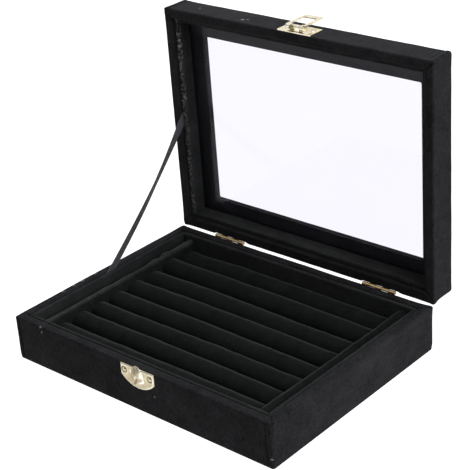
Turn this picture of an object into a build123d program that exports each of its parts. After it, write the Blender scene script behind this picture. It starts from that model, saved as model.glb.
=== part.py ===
from build123d import *
import math
import os

# ---------------------------------------------------------------------------
# Velvet-covered ring display box with a glazed, hinged lid.
# Millimetres. Origin: centre of the underside. +X to the right as seen from
# the front, +Y to the hinge side, +Z up. The lid is drawn closed, then turned
# back about the hinge axis to the open position it rests in.
# ---------------------------------------------------------------------------

# overall
W = 200.0            # outside width
D = 150.0            # outside depth
H_BASE = 28.8        # rim height of the base above the table
H_LID = 19.2         # height of the lid
RIM_GAP = 0.4        # gap between the rims with the lid closed
LID_OPEN = 89.5      # degrees between closed and resting open
R_CORNER = 1.5       # vertical outside corners of the covered box
R_EDGE = 0.9         # soft horizontal edges of the covered box
R_FOOT = 0.6         # edges round the underside

# covering and boards
T_VELVET = 0.6
T_BOARD = 4.3
T_FELT = 0.4
T_FLOOR = 2.5
T_RAIL = 2.9         # boards of the lid's top frame
T_LINER = 2.5
SEAM = 0.5           # gap between a covered wall and its liner
FOLD_IN = 14.0       # how far the covering runs down inside the base
FOLD_IN_LID = 9.0
FOLD_UNDER = 9.0     # how far the covering runs under the base
LINER_DROP = 0.2     # base liners below the base rim
LINER_DROP_LID = 2.5 # lid liners below the lid rim

# lid window and glass
WIN_X = 82.6         # half width of the visible window
WIN_FRONT = -55.6    # front edge of the window
WIN_BACK = 59.2      # hinge-side edge of the window
T_GLASS = 1.8
GLASS_GAP = 0.4      # glass to wall

# padding
PAD_TOP = 8.0
ROLL_TOP = 23.3      # crest of the ring rolls
ROLL_B = 7.9         # half height of a ring roll
ROLL_X = 77.2        # half length of a ring roll
ROLL_EDGES = [-66.3, -48.4, -32.7, -17.3, -1.0, 15.2, 32.1, 48.7, 66.2]
ROLL_GAP = 0.1
SIDE_TOP = 25.3      # crest of the two side rolls
SIDE_B = 8.9
SIDE_IN = 77.45
SIDE_OUT = 91.3
T_SLEEVE = 0.7

# hinges
AX_Y = D / 2 + 1.2   # hinge axis
AX_Z = H_BASE + 0.2
HINGE_XS = (-58.8, 60.6)   # centre of each hinge
HINGE_L = 24.0
LEAF_H = 11.9
LEAF_T = 0.7
KNUCKLE_R = 1.05
PIN_R = 0.5
PIN_CLEAR = 0.05
KNUCKLE_GAP = 0.1

# clasp
CL_X = 3.2           # clasp centre line
PLATE_T = 0.7
LP_W = 25.0          # lid plate
LP_N0 = 0.8
LP_N1 = 12.9
LP_NAIL_N = 7.0
CLP_H = 2.9          # clasp pin, out from the lid's front face
CLP_N = 3.5          # clasp pin, up from the lid's rim
CL_R = 1.6
CL_PIN_R = 0.65
HASP_HW = 6.9        # half width of the hasp
WIN_HW = 4.7         # half width of its window
HASP_T = 0.8
HASP_N1 = 22.2       # free end, folded back
HASP_BAR = 4.0
CP_HW = 12.9         # catch plate
CP_TOP = 28.5
CP_SIDE = 21.3
CP_BOT = 15.4
CP_NAIL_Z = 24.8
NOSE_HW = 4.1
NOSE_TOP = 30.2
NOSE_BOT = 19.8

# nails
NAIL_R = 0.55
NAIL_L = 4.7
HEAD_R = 1.3
HEAD_H = 0.65

# ribbon stay
RB_W = 6.0
RB_T = 0.4
RB_X = -(W / 2 - T_VELVET * 2 - T_BOARD) - 0.0 + 0.25   # in the left seam
RB_BASE_Y = 2.0      # where it leaves the base seam
RB_LID_Z = 103.6     # where it enters the lid seam, lid open
RB_IN_BASE = 19.0    # tucked length in the base
RB_IN_LID = 12.0     # tucked length in the lid

OUT = "parts"
os.makedirs(OUT, exist_ok=True)
nodes = {}


def blk(x0, x1, y0, y1, z0, z1):
    return Pos((x0 + x1) / 2, (y0 + y1) / 2, (z0 + z1) / 2) * Box(
        abs(x1 - x0), abs(y1 - y0), abs(z1 - z0))


def xcyl(x0, x1, y, z, r):
    return Pos((x0 + x1) / 2, y, z) * Rot(0, 90, 0) * Cylinder(r, abs(x1 - x0))


def open_lid(s):
    return Pos(0, AX_Y, AX_Z) * Rot(-LID_OPEN, 0, 0) * Pos(0, -AX_Y, -AX_Z) * s


def round_z(s, r, x=None, y=None):
    es = s.edges().filter_by(Axis.Z)
    return fillet(es, r)


def one(s):
    """a single solid from a boolean result"""
    sol = s.solids()
    if len(sol) != 1:
        raise ValueError("expected one solid, got %d" % len(sol))
    return sol[0]


# --------------------------------------------------------------------- nails
def nail_out(x, y, z, front):
    """nail whose head faces -Y (front) or +Y; y is the seat under the head"""
    shank = Pos(0, 0, -NAIL_L / 2) * Cylinder(NAIL_R, NAIL_L)
    rs = (HEAD_R ** 2 + HEAD_H ** 2) / (2 * HEAD_H)
    head = Pos(0, 0, HEAD_H - rs) * Sphere(rs)
    head = head & (Pos(0, 0, HEAD_H / 2) * Box(3 * HEAD_R, 3 * HEAD_R, HEAD_H))
    n = one(shank + head)
    return Pos(x, y, z) * (Rot(90, 0, 0) if front else Rot(-90, 0, 0)) * n


def shank_cut(x, y, z, front):
    c = Pos(0, 0, -NAIL_L / 2) * Cylinder(NAIL_R, NAIL_L)
    return Pos(x, y, z) * (Rot(90, 0, 0) if front else Rot(-90, 0, 0)) * c


yf = -D / 2
yb = D / 2
Z0 = H_BASE + RIM_GAP            # lid rim, closed
ZT = Z0 + H_LID                  # lid top, closed

catch_spots = [(CL_X + s * 9.9, yf - PLATE_T, CP_NAIL_Z, True) for s in (-1, 1)]
latch_spots = [(CL_X + s * 9.9, yf - PLATE_T, Z0 + LP_NAIL_N, True) for s in (-1, 1)]
hb_spots, hl_spots = [], []
for hx in HINGE_XS:
    for dx, dz in ((-8.0, 4.6), (8.0, 4.6), (0.0, 8.8)):
        hb_spots.append((hx + dx, yb + LEAF_T, AX_Z - dz, False))
        hl_spots.append((hx + dx, yb + LEAF_T, AX_Z + dz, False))

base_nails = [nail_out(*p) for p in catch_spots + hb_spots]
lid_nails = [nail_out(*p) for p in latch_spots + hl_spots]
base_cuts = [shank_cut(*p) for p in catch_spots + hb_spots]
lid_cuts = [shank_cut(*p) for p in latch_spots + hl_spots]


def drill(s, cuts):
    for c in cuts:
        s = s - c
    return s


# ---------------------------------------------------------------------- base
bx = W / 2 - T_VELVET            # board outside
by = D / 2 - T_VELVET
ix = bx - T_BOARD                # board inside
iy = by - T_BOARD
fx = ix - T_VELVET               # covered wall, inside face
fy = iy - T_VELVET
zb0 = T_FELT + T_VELVET          # boards start
zb1 = H_BASE - T_VELVET          # boards end


def rounded_board_ring(z0, z1):
    o = round_z(blk(-bx, bx, -by, by, z0, z1), R_CORNER - T_VELVET)
    return o


ring = rounded_board_ring(zb0, zb1)
front_w = ring & blk(-bx - 1, bx + 1, -by - 1, -iy, zb0, zb1)
back_w = ring & blk(-bx - 1, bx + 1, iy, by + 1, zb0, zb1)
nodes["base_wall_front"] = one(drill(front_w, base_cuts[:2]))
nodes["base_wall_back"] = one(drill(back_w, base_cuts[2:]))
nodes["base_wall_left"] = one(blk(-bx, -ix, -iy, iy, zb0, zb1))
nodes["base_wall_right"] = one(blk(ix, bx, -iy, iy, zb0, zb1))
nodes["base_floor_board"] = one(blk(-ix, ix, -iy, iy, zb0, zb0 + T_FLOOR))

skin = round_z(blk(-W / 2, W / 2, -D / 2, D / 2, T_FELT, H_BASE), R_CORNER)
skin = fillet(skin.edges().group_by(Axis.Z)[-1], R_EDGE)
skin = fillet(skin.edges().group_by(Axis.Z)[0], R_FOOT)
skin = skin - ring                                           # boards
skin = skin - blk(-ix, ix, -iy, iy, zb0, H_BASE - FOLD_IN)   # bare inside, low
skin = skin - blk(-fx, fx, -fy, fy, zb0, H_BASE + 1)         # inside space
skin = skin - blk(-bx + FOLD_UNDER, bx - FOLD_UNDER, -by + FOLD_UNDER, by - FOLD_UNDER,
                  T_FELT - 1, zb0 + 0.01)
# the covering's inner fold is left against the boards
fold = blk(-ix, ix, -iy, iy, H_BASE - FOLD_IN, H_BASE) - blk(-fx, fx, -fy, fy, 0, H_BASE + 1)
skin = skin + fold
nodes["base_velvet_wrap"] = one(drill(skin, base_cuts))

nodes["base_underside_felt"] = one(round_z(blk(-W / 2 + 2, W / 2 - 2, -D / 2 + 2, D / 2 - 2, 0, T_FELT), 3.0))

# liners: velvet-covered card strips inside the walls
zl0 = zb0 + T_FLOOR
zl1 = H_BASE - LINER_DROP
lx1 = fx - SEAM
lx0 = lx1 - T_LINER
ly1 = fy - SEAM
ly0 = ly1 - T_LINER
nodes["base_liner_left"] = one(blk(-lx1, -lx0, -ly1, ly1, zl0, zl1))
nodes["base_liner_right"] = one(blk(lx0, lx1, -ly1, ly1, zl0, zl1))
nodes["base_liner_front"] = one(blk(-lx0, lx0, -ly1, -ly0, zl0, zl1))
nodes["base_liner_back"] = one(blk(-lx0, lx0, ly0, ly1, zl0, zl1))
nodes["insert_pad"] = one(blk(-lx0 + 0.2, lx0 - 0.2, -ly0 + 0.2, ly0 - 0.2, zl0, PAD_TOP))


# padded rolls: a foam core inside a velvet sleeve, glued flat to the pad
def roll_pair(a, b, top, half_len, along_x):
    zc = top - b
    pl = Plane.YZ if along_x else Plane.XZ
    o = Pos(0, 0, zc) * extrude(pl * Ellipse(a, b), half_len, both=True)
    i = Pos(0, 0, zc) * extrude(pl * Ellipse(a - T_SLEEVE, b - T_SLEEVE), half_len, both=True)
    big = 2 * half_len + 20
    o = o & (Pos(0, 0, PAD_TOP + 50) * Box(big, big, 100))
    i = i & (Pos(0, 0, PAD_TOP + T_SLEEVE + 50) * Box(big, big, 100))
    return one(o - i), one(i)


for k in range(8):
    y0, y1 = ROLL_EDGES[k], ROLL_EDGES[k + 1]
    sleeve, core = roll_pair((y1 - y0) / 2 - ROLL_GAP, ROLL_B, ROLL_TOP, ROLL_X, True)
    at = Pos(0, (y0 + y1) / 2, 0)
    nodes["ring_roll_sleeve_%d" % (k + 1)] = one(at * sleeve)
    nodes["ring_roll_core_%d" % (k + 1)] = one(at * core)
for name, s in (("left", -1), ("right", 1)):
    sleeve, core = roll_pair((SIDE_OUT - SIDE_IN) / 2, SIDE_B, SIDE_TOP, 66.2, False)
    at = Pos(s * (SIDE_IN + SIDE_OUT) / 2, 0, 0)
    nodes["side_roll_sleeve_" + name] = one(at * sleeve)
    nodes["side_roll_core_" + name] = one(at * core)

# ----------------------------------------------------------------- catch plate
with BuildSketch(Plane.XZ) as cs:
    with BuildLine():
        Polyline((CL_X - CP_HW, CP_SIDE), (CL_X - CP_HW, CP_TOP), (CL_X + CP_HW, CP_TOP), (CL_X + CP_HW, CP_SIDE))
        ThreePointArc((CL_X + CP_HW, CP_SIDE), (CL_X, CP_BOT), (CL_X - CP_HW, CP_SIDE))
    make_face()
plate = extrude(cs.sketch, PLATE_T)                      # towards -Y
plate = Pos(0, yf, 0) * plate
plate = fillet(plate.edges().filter_by(Axis.Y), 0.4)
zc_n = (NOSE_TOP + NOSE_BOT) / 2


def ellipsoid(x, y, z, rx, ry, rz):
    return Pos(x, y, z) * scale(Sphere(1.0), by=(rx, ry, rz))


out_half = blk(CL_X - 20, CL_X + 20, yf - 12, yf - PLATE_T, 5, 45)
nose = ellipsoid(CL_X, yf - PLATE_T, zc_n, NOSE_HW, 2.5, (NOSE_TOP - NOSE_BOT) / 2) & out_half
ridge = Pos(CL_X + 0.2, yf - PLATE_T, NOSE_BOT + 1.6) * Rot(0, 18, 0) * scale(Sphere(1.0), by=(1.7, 1.3, 3.1)) & out_half
plate = plate + nose + ridge
nodes["catch_plate"] = one(drill(plate, base_cuts[:2]))
nodes["base_nails"] = Compound(children=[one(n) for n in base_nails])

# ---------------------------------------------------------------------- hinges
edges5 = [-HINGE_L / 2 + HINGE_L / 5 * i for i in range(6)]
base_k = [(edges5[0], edges5[1]), (edges5[2], edges5[3]), (edges5[4], edges5[5])]
lid_k = [(edges5[1], edges5[2]), (edges5[3], edges5[4])]


def leaf(cx, own, other, z0, z1, bore, cuts):
    p = blk(cx - HINGE_L / 2, cx + HINGE_L / 2, yb, yb + LEAF_T, z0, z1)
    far = [e for e in p.edges().filter_by(Axis.Y)]
    far = sorted(far, key=lambda e: -abs(e.center().Z - AX_Z))[:2]
    p = fillet(far, 1.5)
    clear = KNUCKLE_R + 0.25
    for a, b in other:
        p = p - blk(cx + a - KNUCKLE_GAP, cx + b + KNUCKLE_GAP, yb - 1, AX_Y + 2, AX_Z - clear, AX_Z + clear)
    for a, b in own:
        g0 = 0 if abs(a) > HINGE_L / 2 - 0.01 else KNUCKLE_GAP
        g1 = 0 if abs(b) > HINGE_L / 2 - 0.01 else KNUCKLE_GAP
        p = p + xcyl(cx + a + g0, cx + b - g1, AX_Y, AX_Z, KNUCKLE_R)
    p = p - xcyl(cx - HINGE_L, cx + HINGE_L, AX_Y, AX_Z, bore)
    return one(drill(p, cuts))


for name, cx, i0 in (("left", HINGE_XS[0], 0), ("right", HINGE_XS[1], 3)):
    nodes["hinge_base_leaf_" + name] = leaf(cx, base_k, lid_k, AX_Z - LEAF_H, AX_Z - 0.1, PIN_R,
                                            base_cuts[2 + i0:5 + i0])
    lf = leaf(cx, lid_k, base_k, AX_Z + 0.1, AX_Z + LEAF_H, PIN_R + PIN_CLEAR, lid_cuts[2 + i0:5 + i0])
    nodes["hinge_lid_leaf_" + name] = one(open_lid(lf))
    nodes["hinge_pin_" + name] = one(xcyl(cx - HINGE_L / 2, cx + HINGE_L / 2, AX_Y, AX_Z, PIN_R))

# ------------------------------------------------------------------------ lid
lz0 = Z0 + T_VELVET              # boards, closed
lz1 = ZT - T_VELVET
lring = rounded_board_ring(lz0, lz1)
nodes["lid_wall_front"] = one(open_lid(drill(lring & blk(-bx - 1, bx + 1, -by - 1, -iy, lz0, lz1), lid_cuts[:2])))
nodes["lid_wall_back"] = one(open_lid(drill(lring & blk(-bx - 1, bx + 1, iy, by + 1, lz0, lz1), lid_cuts[2:])))
nodes["lid_wall_left"] = one(open_lid(blk(-bx, -ix, -iy, iy, lz0, lz1)))
nodes["lid_wall_right"] = one(open_lid(blk(ix, bx, -iy, iy, lz0, lz1)))

rz0 = lz1 - T_RAIL
wx = WIN_X + T_VELVET
wf = WIN_FRONT - T_VELVET
wb = WIN_BACK + T_VELVET
nodes["lid_top_rail_front"] = one(open_lid(blk(-ix, ix, -iy, wf, rz0, lz1)))
nodes["lid_top_rail_back"] = one(open_lid(blk(-ix, ix, wb, iy, rz0, lz1)))
nodes["lid_top_rail_left"] = one(open_lid(blk(-ix, -wx, wf, wb, rz0, lz1)))
nodes["lid_top_rail_right"] = one(open_lid(blk(wx, ix, wf, wb, rz0, lz1)))

lskin = round_z(blk(-W / 2, W / 2, -D / 2, D / 2, Z0, ZT), R_CORNER)
lskin = fillet(lskin.edges().group_by(Axis.Z)[-1], R_EDGE)
lskin = fillet(lskin.edges().group_by(Axis.Z)[0], R_EDGE)
lskin = lskin - (lring - blk(-ix, ix, -iy, iy, 0, rz0))        # walls and top frame as one block
lskin = lskin - blk(-ix, ix, -iy, iy, Z0 + FOLD_IN_LID, rz0 - T_VELVET)
lskin = lskin - blk(-fx, fx, -fy, fy, Z0 - 1, rz0 - T_VELVET)
edge_band = blk(-wx, wx, wf, wb, rz0 - T_VELVET, ZT) - blk(-WIN_X, WIN_X, WIN_FRONT, WIN_BACK, 0, 100)
lskin = lskin - blk(-WIN_X, WIN_X, WIN_FRONT, WIN_BACK, Z0 - 1, ZT + 1)
lskin = lskin + edge_band
nodes["lid_velvet_wrap"] = one(open_lid(one(drill(lskin, lid_cuts))))

gz1 = rz0 - T_VELVET
gz0 = gz1 - T_GLASS
nodes["glass_pane"] = one(open_lid(blk(-ix + GLASS_GAP, ix - GLASS_GAP, -iy + GLASS_GAP, iy - GLASS_GAP, gz0, gz1)))

llz0 = Z0 + LINER_DROP_LID
llz1 = gz0 - 0.1
nodes["lid_liner_left"] = one(open_lid(blk(-lx1, -lx0, -ly1, ly1, llz0, llz1)))
nodes["lid_liner_right"] = one(open_lid(blk(lx0, lx1, -ly1, ly1, llz0, llz1)))
nodes["lid_liner_front"] = one(open_lid(blk(-lx0, lx0, -ly1, -ly0, llz0, llz1)))
nodes["lid_liner_back"] = one(open_lid(blk(-lx0, lx0, ly0, ly1, llz0, llz1)))

# ----------------------------------------------------------------------- clasp
py = yf - CLP_H
pz = Z0 + CLP_N
lp = blk(CL_X - LP_W / 2, CL_X + LP_W / 2, yf - PLATE_T, yf, Z0 + LP_N0, Z0 + LP_N1)
lp = fillet(lp.edges().filter_by(Axis.Y), 0.5)
kn = xcyl(CL_X - 3.4, CL_X + 3.4, py, pz, CL_R) + blk(CL_X - 3.4, CL_X + 3.4, py, yf - PLATE_T + 0.2, pz - CL_R, pz + CL_R)
lp = lp + kn - xcyl(CL_X - 9, CL_X + 9, py, pz, CL_PIN_R + PIN_CLEAR)
nodes["latch_plate"] = one(open_lid(one(drill(lp, lid_cuts[:2]))))
nodes["lid_nails"] = Compound(children=[one(open_lid(one(n))) for n in lid_nails])

# hasp folded back over the lid plate
h_mid = CLP_H + CL_R - HASP_T / 2
with BuildSketch(Plane.XZ) as hs:
    with BuildLine():
        Polyline((CL_X - HASP_HW, pz), (CL_X + HASP_HW, pz), (CL_X + HASP_HW, Z0 + HASP_N1),
                 (CL_X - HASP_HW, Z0 + HASP_N1), (CL_X - HASP_HW, pz))
    make_face()
body = Pos(0, yf - (h_mid - HASP_T / 2), 0) * extrude(hs.sketch, HASP_T)
far = sorted(body.edges().filter_by(Axis.Y), key=lambda e: -e.center().Z)[:2]
body = fillet(far, 2.0)
win = blk(CL_X - WIN_HW, CL_X + WIN_HW, yf - 12, yf, pz + CL_R + 0.3, Z0 + HASP_N1 - HASP_BAR)
win = fillet(win.edges().filter_by(Axis.Y), 1.0)
body = body - win
ears = [xcyl(CL_X + s * 3.6, CL_X + s * HASP_HW, py, pz, CL_R) for s in (-1, 1)]
body = body - blk(CL_X - 3.6, CL_X + 3.6, yf - 12, yf, pz - 3, pz + CL_R + 0.3)
body = body - blk(CL_X - WIN_HW, CL_X + WIN_HW, yf - 12, yf, pz + CL_R + 0.1, pz + CL_R + 2)
for e in ears:
    body = body + e
# lip at the free end, turned towards the lid while folded back
tab = Box(8.0, HASP_T, 1.8)
tab = fillet(sorted(tab.edges().filter_by(Axis.Y), key=lambda e: -e.center().Z)[:2], 0.6)
body = body + Pos(CL_X, yf - h_mid, Z0 + HASP_N1 - 0.5) * Rot(-28, 0, 0) * Pos(0, 0, 0.8) * tab
body = body - xcyl(CL_X - 12, CL_X + 12, py, pz, CL_PIN_R)
nodes["latch_hasp"] = one(open_lid(one(body)))
nodes["latch_pin"] = one(open_lid(xcyl(CL_X - HASP_HW, CL_X + HASP_HW, py, pz, CL_PIN_R)))

# ----------------------------------------------------------------- ribbon stay
dy = AX_Y - RB_BASE_Y
dz = RB_LID_Z - H_BASE
ln = math.hypot(dy, dz)
uy, uz = dy / ln, dz / ln
a0 = -RB_IN_BASE
a1 = ln + RB_IN_LID
mid = (a0 + a1) / 2
strip = Box(RB_T, RB_W, a1 - a0)
tilt = math.degrees(math.atan2(uy, uz))
nodes["ribbon_stay"] = one(Pos(RB_X, RB_BASE_Y + uy * mid, H_BASE + uz * mid) * Rot(-tilt, 0, 0) * strip)

for name, shape in nodes.items():
    export_step(shape, os.path.join(OUT, name + ".step"))
print(len(nodes), "nodes; ribbon", round(ln, 1), "mm free,", round(a1 - a0, 1), "mm in all, at x", round(RB_X, 2))
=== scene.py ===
import bpy
import math
import random
import numpy as np
from mathutils import Matrix, Vector, noise


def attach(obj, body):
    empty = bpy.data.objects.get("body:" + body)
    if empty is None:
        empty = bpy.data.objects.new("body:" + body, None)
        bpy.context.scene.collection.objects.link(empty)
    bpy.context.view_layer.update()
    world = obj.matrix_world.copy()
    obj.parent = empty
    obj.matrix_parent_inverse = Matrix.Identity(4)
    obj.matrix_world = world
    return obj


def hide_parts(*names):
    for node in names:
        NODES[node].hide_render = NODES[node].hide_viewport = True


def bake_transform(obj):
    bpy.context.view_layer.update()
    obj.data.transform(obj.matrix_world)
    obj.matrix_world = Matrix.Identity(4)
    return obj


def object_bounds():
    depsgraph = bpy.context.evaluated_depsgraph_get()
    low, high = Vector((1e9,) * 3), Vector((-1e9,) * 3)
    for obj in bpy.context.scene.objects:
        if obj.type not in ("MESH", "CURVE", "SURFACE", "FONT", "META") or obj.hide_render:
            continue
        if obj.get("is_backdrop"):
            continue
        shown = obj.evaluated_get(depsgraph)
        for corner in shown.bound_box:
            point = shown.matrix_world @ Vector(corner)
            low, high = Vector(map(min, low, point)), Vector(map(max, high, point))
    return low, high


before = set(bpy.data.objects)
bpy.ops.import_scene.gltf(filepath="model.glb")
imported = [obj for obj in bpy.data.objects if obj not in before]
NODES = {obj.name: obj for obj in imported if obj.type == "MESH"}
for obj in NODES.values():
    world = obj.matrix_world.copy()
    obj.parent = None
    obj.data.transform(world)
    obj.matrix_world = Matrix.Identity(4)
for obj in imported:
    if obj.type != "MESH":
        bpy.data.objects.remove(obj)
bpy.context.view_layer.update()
SCENE = bpy.context.scene
COL = SCENE.collection

# ---------------------------------------------------------------- dimensions, mm
W, D = 200.0, 150.0
H_BASE, H_LID, RIM_GAP, LID_OPEN = 28.8, 19.2, 0.4, 89.5
Z0 = H_BASE + RIM_GAP          # lid rim, closed
ZT = Z0 + H_LID                # lid top, closed
ZG = ZT - 4.1                  # underside of the covered top frame, where the glass lies
AX_Y, AX_Z = 76.2, 29.0
CL_X = 3.2
T_FELT = 0.4
PAD_TOP = 8.0
ROLL_TOP, SIDE_TOP = 23.3, 25.3
ROLL_EDGES = [-66.3, -48.4, -32.7, -17.3, -1.0, 15.2, 32.1, 48.7, 66.2]
OPEN = (Matrix.Translation((0, AX_Y, AX_Z)) @ Matrix.Rotation(math.radians(-LID_OPEN), 4, "X")
        @ Matrix.Translation((0, -AX_Y, -AX_Z)))
OPEN_NP = np.array(OPEN)

# ------------------------------------------------------------------------ camera
az, el, roll = math.radians(42.42875), math.radians(26.11678), math.radians(-4.0078)
cam_at = Vector((497.472, -527.234, 434.087)) * 0.001
fwd = -Vector((math.sin(az) * math.cos(el), -math.cos(az) * math.cos(el), math.sin(el)))
right = fwd.cross(Vector((0, 0, 1))).normalized()
up = right.cross(fwd)
cx = math.cos(roll) * right + math.sin(roll) * up
cy = -math.sin(roll) * right + math.cos(roll) * up
cam_data = bpy.data.cameras.new("camera")
cam_data.sensor_width = 36.0
cam_data.lens = 1392.32 / 470.0 * 36.0
cam_data.clip_start, cam_data.clip_end = 0.02, 20.0
cam = bpy.data.objects.new("camera", cam_data)
cam.matrix_world = Matrix(((cx[0], cy[0], -fwd[0], cam_at[0]), (cx[1], cy[1], -fwd[1], cam_at[1]),
                           (cx[2], cy[2], -fwd[2], cam_at[2]), (0, 0, 0, 1)))
COL.objects.link(cam)
SCENE.camera = cam


# ------------------------------------------------------------------ mesh helpers
def add_object(name, verts_mm, faces, lid=False, smooth=True):
    """verts in mm (closed coordinates if lid), object at the origin"""
    v = np.asarray(verts_mm, float)
    if lid:
        v = v @ OPEN_NP[:3, :3].T + OPEN_NP[:3, 3]
    me = bpy.data.meshes.new(name)
    me.from_pydata((v * 0.001).tolist(), [], [tuple(int(i) for i in f) for f in faces])
    me.validate()
    me.update()
    if smooth:
        me.polygons.foreach_set("use_smooth", [True] * len(me.polygons))
    ob = bpy.data.objects.new(name, me)
    COL.objects.link(ob)
    return ob


def fnoise(v, scale, seed=0.0):
    """smooth noise in about -1..1 for an array of points in mm; scale is the size of its lumps in mm"""
    out = np.empty(len(v))
    o = Vector((seed * 13.7, seed * 7.1, seed * 3.3))
    for i, p in enumerate(v):
        out[i] = noise.noise(Vector((p[0] / scale, p[1] / scale, p[2] / scale)) + o)
    return out


def normals_of(verts, faces):
    """area-weighted vertex normals of quads and triangles"""
    v = np.asarray(verts, float)
    n = np.zeros_like(v)
    q = np.array([f for f in faces if len(f) == 4], int).reshape(-1, 4)
    t = np.array([f for f in faces if len(f) == 3], int).reshape(-1, 3)
    if len(q):
        fn = np.cross(v[q[:, 2]] - v[q[:, 0]], v[q[:, 3]] - v[q[:, 1]])
        for k in range(4):
            np.add.at(n, q[:, k], fn)
    if len(t):
        fn = np.cross(v[t[:, 1]] - v[t[:, 0]], v[t[:, 2]] - v[t[:, 0]])
        for k in range(3):
            np.add.at(n, t[:, k], fn)
    return n / np.maximum(np.linalg.norm(n, axis=1, keepdims=True), 1e-9)


def spread(a, b, fine, coarse, reach):
    """positions from a to b, fine near both ends and coarse between"""
    length = b - a
    ends = list(np.arange(0, min(reach, length / 2), fine))
    mid0, mid1 = ends[-1] + fine, length - ends[-1] - fine
    if mid1 > mid0:
        k = max(1, int(round((mid1 - mid0) / coarse)))
        mid = list(np.linspace(mid0, mid1, k + 1))
    else:
        mid = [length / 2]
    out = ends + mid + [length - e for e in reversed(ends)]
    return np.array(sorted(set(np.round(out, 4)))) + a


def soft_block(name, lo, hi, r, fine=0.45, coarse=2.6, lid=False, wave=0.12, lump=24.0, seed=1.0, grain=0.04,
               shape=None):
    """a covered strip or pad: rounded edges all round, slightly uneven faces"""
    lo, hi = np.array(lo, float), np.array(hi, float)
    r = min(r, *(0.49 * (hi - lo)))
    axes = [spread(lo[i], hi[i], fine, coarse, r * 1.6) for i in range(3)]
    index, verts, faces = {}, [], []

    def vid(p):
        key = tuple(np.round(p, 4))
        if key not in index:
            index[key] = len(verts)
            verts.append(p)
        return index[key]

    for ax in range(3):
        a, b = [i for i in range(3) if i != ax]
        for side, flip in ((lo[ax], True), (hi[ax], False)):
            if ax == 1:
                flip = not flip
            A, B = axes[a], axes[b]
            ids = np.empty((len(A), len(B)), int)
            for i, ua in enumerate(A):
                for j, ub in enumerate(B):
                    p = [0, 0, 0]
                    p[ax], p[a], p[b] = side, ua, ub
                    ids[i, j] = vid(p)
            for i in range(len(A) - 1):
                for j in range(len(B) - 1):
                    f = (ids[i, j], ids[i + 1, j], ids[i + 1, j + 1], ids[i, j + 1])
                    faces.append(f[::-1] if flip else f)
    v = np.array(verts, float)
    c = np.clip(v, lo + r, hi - r)
    d = v - c
    v = c + d / np.maximum(np.linalg.norm(d, axis=1, keepdims=True), 1e-9) * r
    n = normals_of(v, faces)
    v = v + n * (wave * (fnoise(v, lump, seed) - 0.3) + grain * fnoise(v, 2.4, seed + 5))[:, None]
    if shape is not None:
        v = shape(v)
    return add_object(name, v, faces, lid)


def ring_points(rect, ts_long, ts_short, arc):
    """points round a rectangle with rounded corners, starting on the front side at the left, anticlockwise"""
    x0, x1, y0, y1, r = rect
    pts = []
    cs = [((x1 - r, y0 + r), -90), ((x1 - r, y1 - r), 0), ((x0 + r, y1 - r), 90), ((x0 + r, y0 + r), 180)]
    sides = [((x0 + r, y0), (x1 - r, y0), ts_long), ((x1, y0 + r), (x1, y1 - r), ts_short),
             ((x1 - r, y1), (x0 + r, y1), ts_long), ((x0, y1 - r), (x0, y0 + r), ts_short)]
    for (a, b, ts), (c, ang) in zip(sides, cs):
        a, b = np.array(a), np.array(b)
        for t in ts:
            pts.append(a + (b - a) * t)
        for k in range(1, arc):
            g = math.radians(ang + 90.0 * k / arc)
            pts.append(np.array(c) + r * np.array([math.cos(g), math.sin(g)]))
    return np.array(pts)


def side_params(length):
    p = spread(0, length, 0.55, 2.7, 11.0)
    return p / length


TS_LONG, TS_SHORT = side_params(W - 6), side_params(D - 6)
ARC = 8


def ring_sweep(profile):
    """profile: closed list of (rect, z); returns verts, faces and the number of stations"""
    rows = []
    for rect, z in profile:
        p = ring_points(rect, TS_LONG, TS_SHORT, ARC)
        rows.append(np.column_stack([p, np.full(len(p), z)]))
    ns, npf = len(rows[0]), len(rows)
    verts = np.concatenate(rows)
    faces = []
    for i in range(npf):
        j = (i + 1) % npf
        for k in range(ns):
            m = (k + 1) % ns
            faces.append((i * ns + k, i * ns + m, j * ns + m, j * ns + k))
    return verts, faces, ns


def inset(d, r):
    return (-W / 2 + d, W / 2 - d, -D / 2 + d, D / 2 - d, r)


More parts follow.
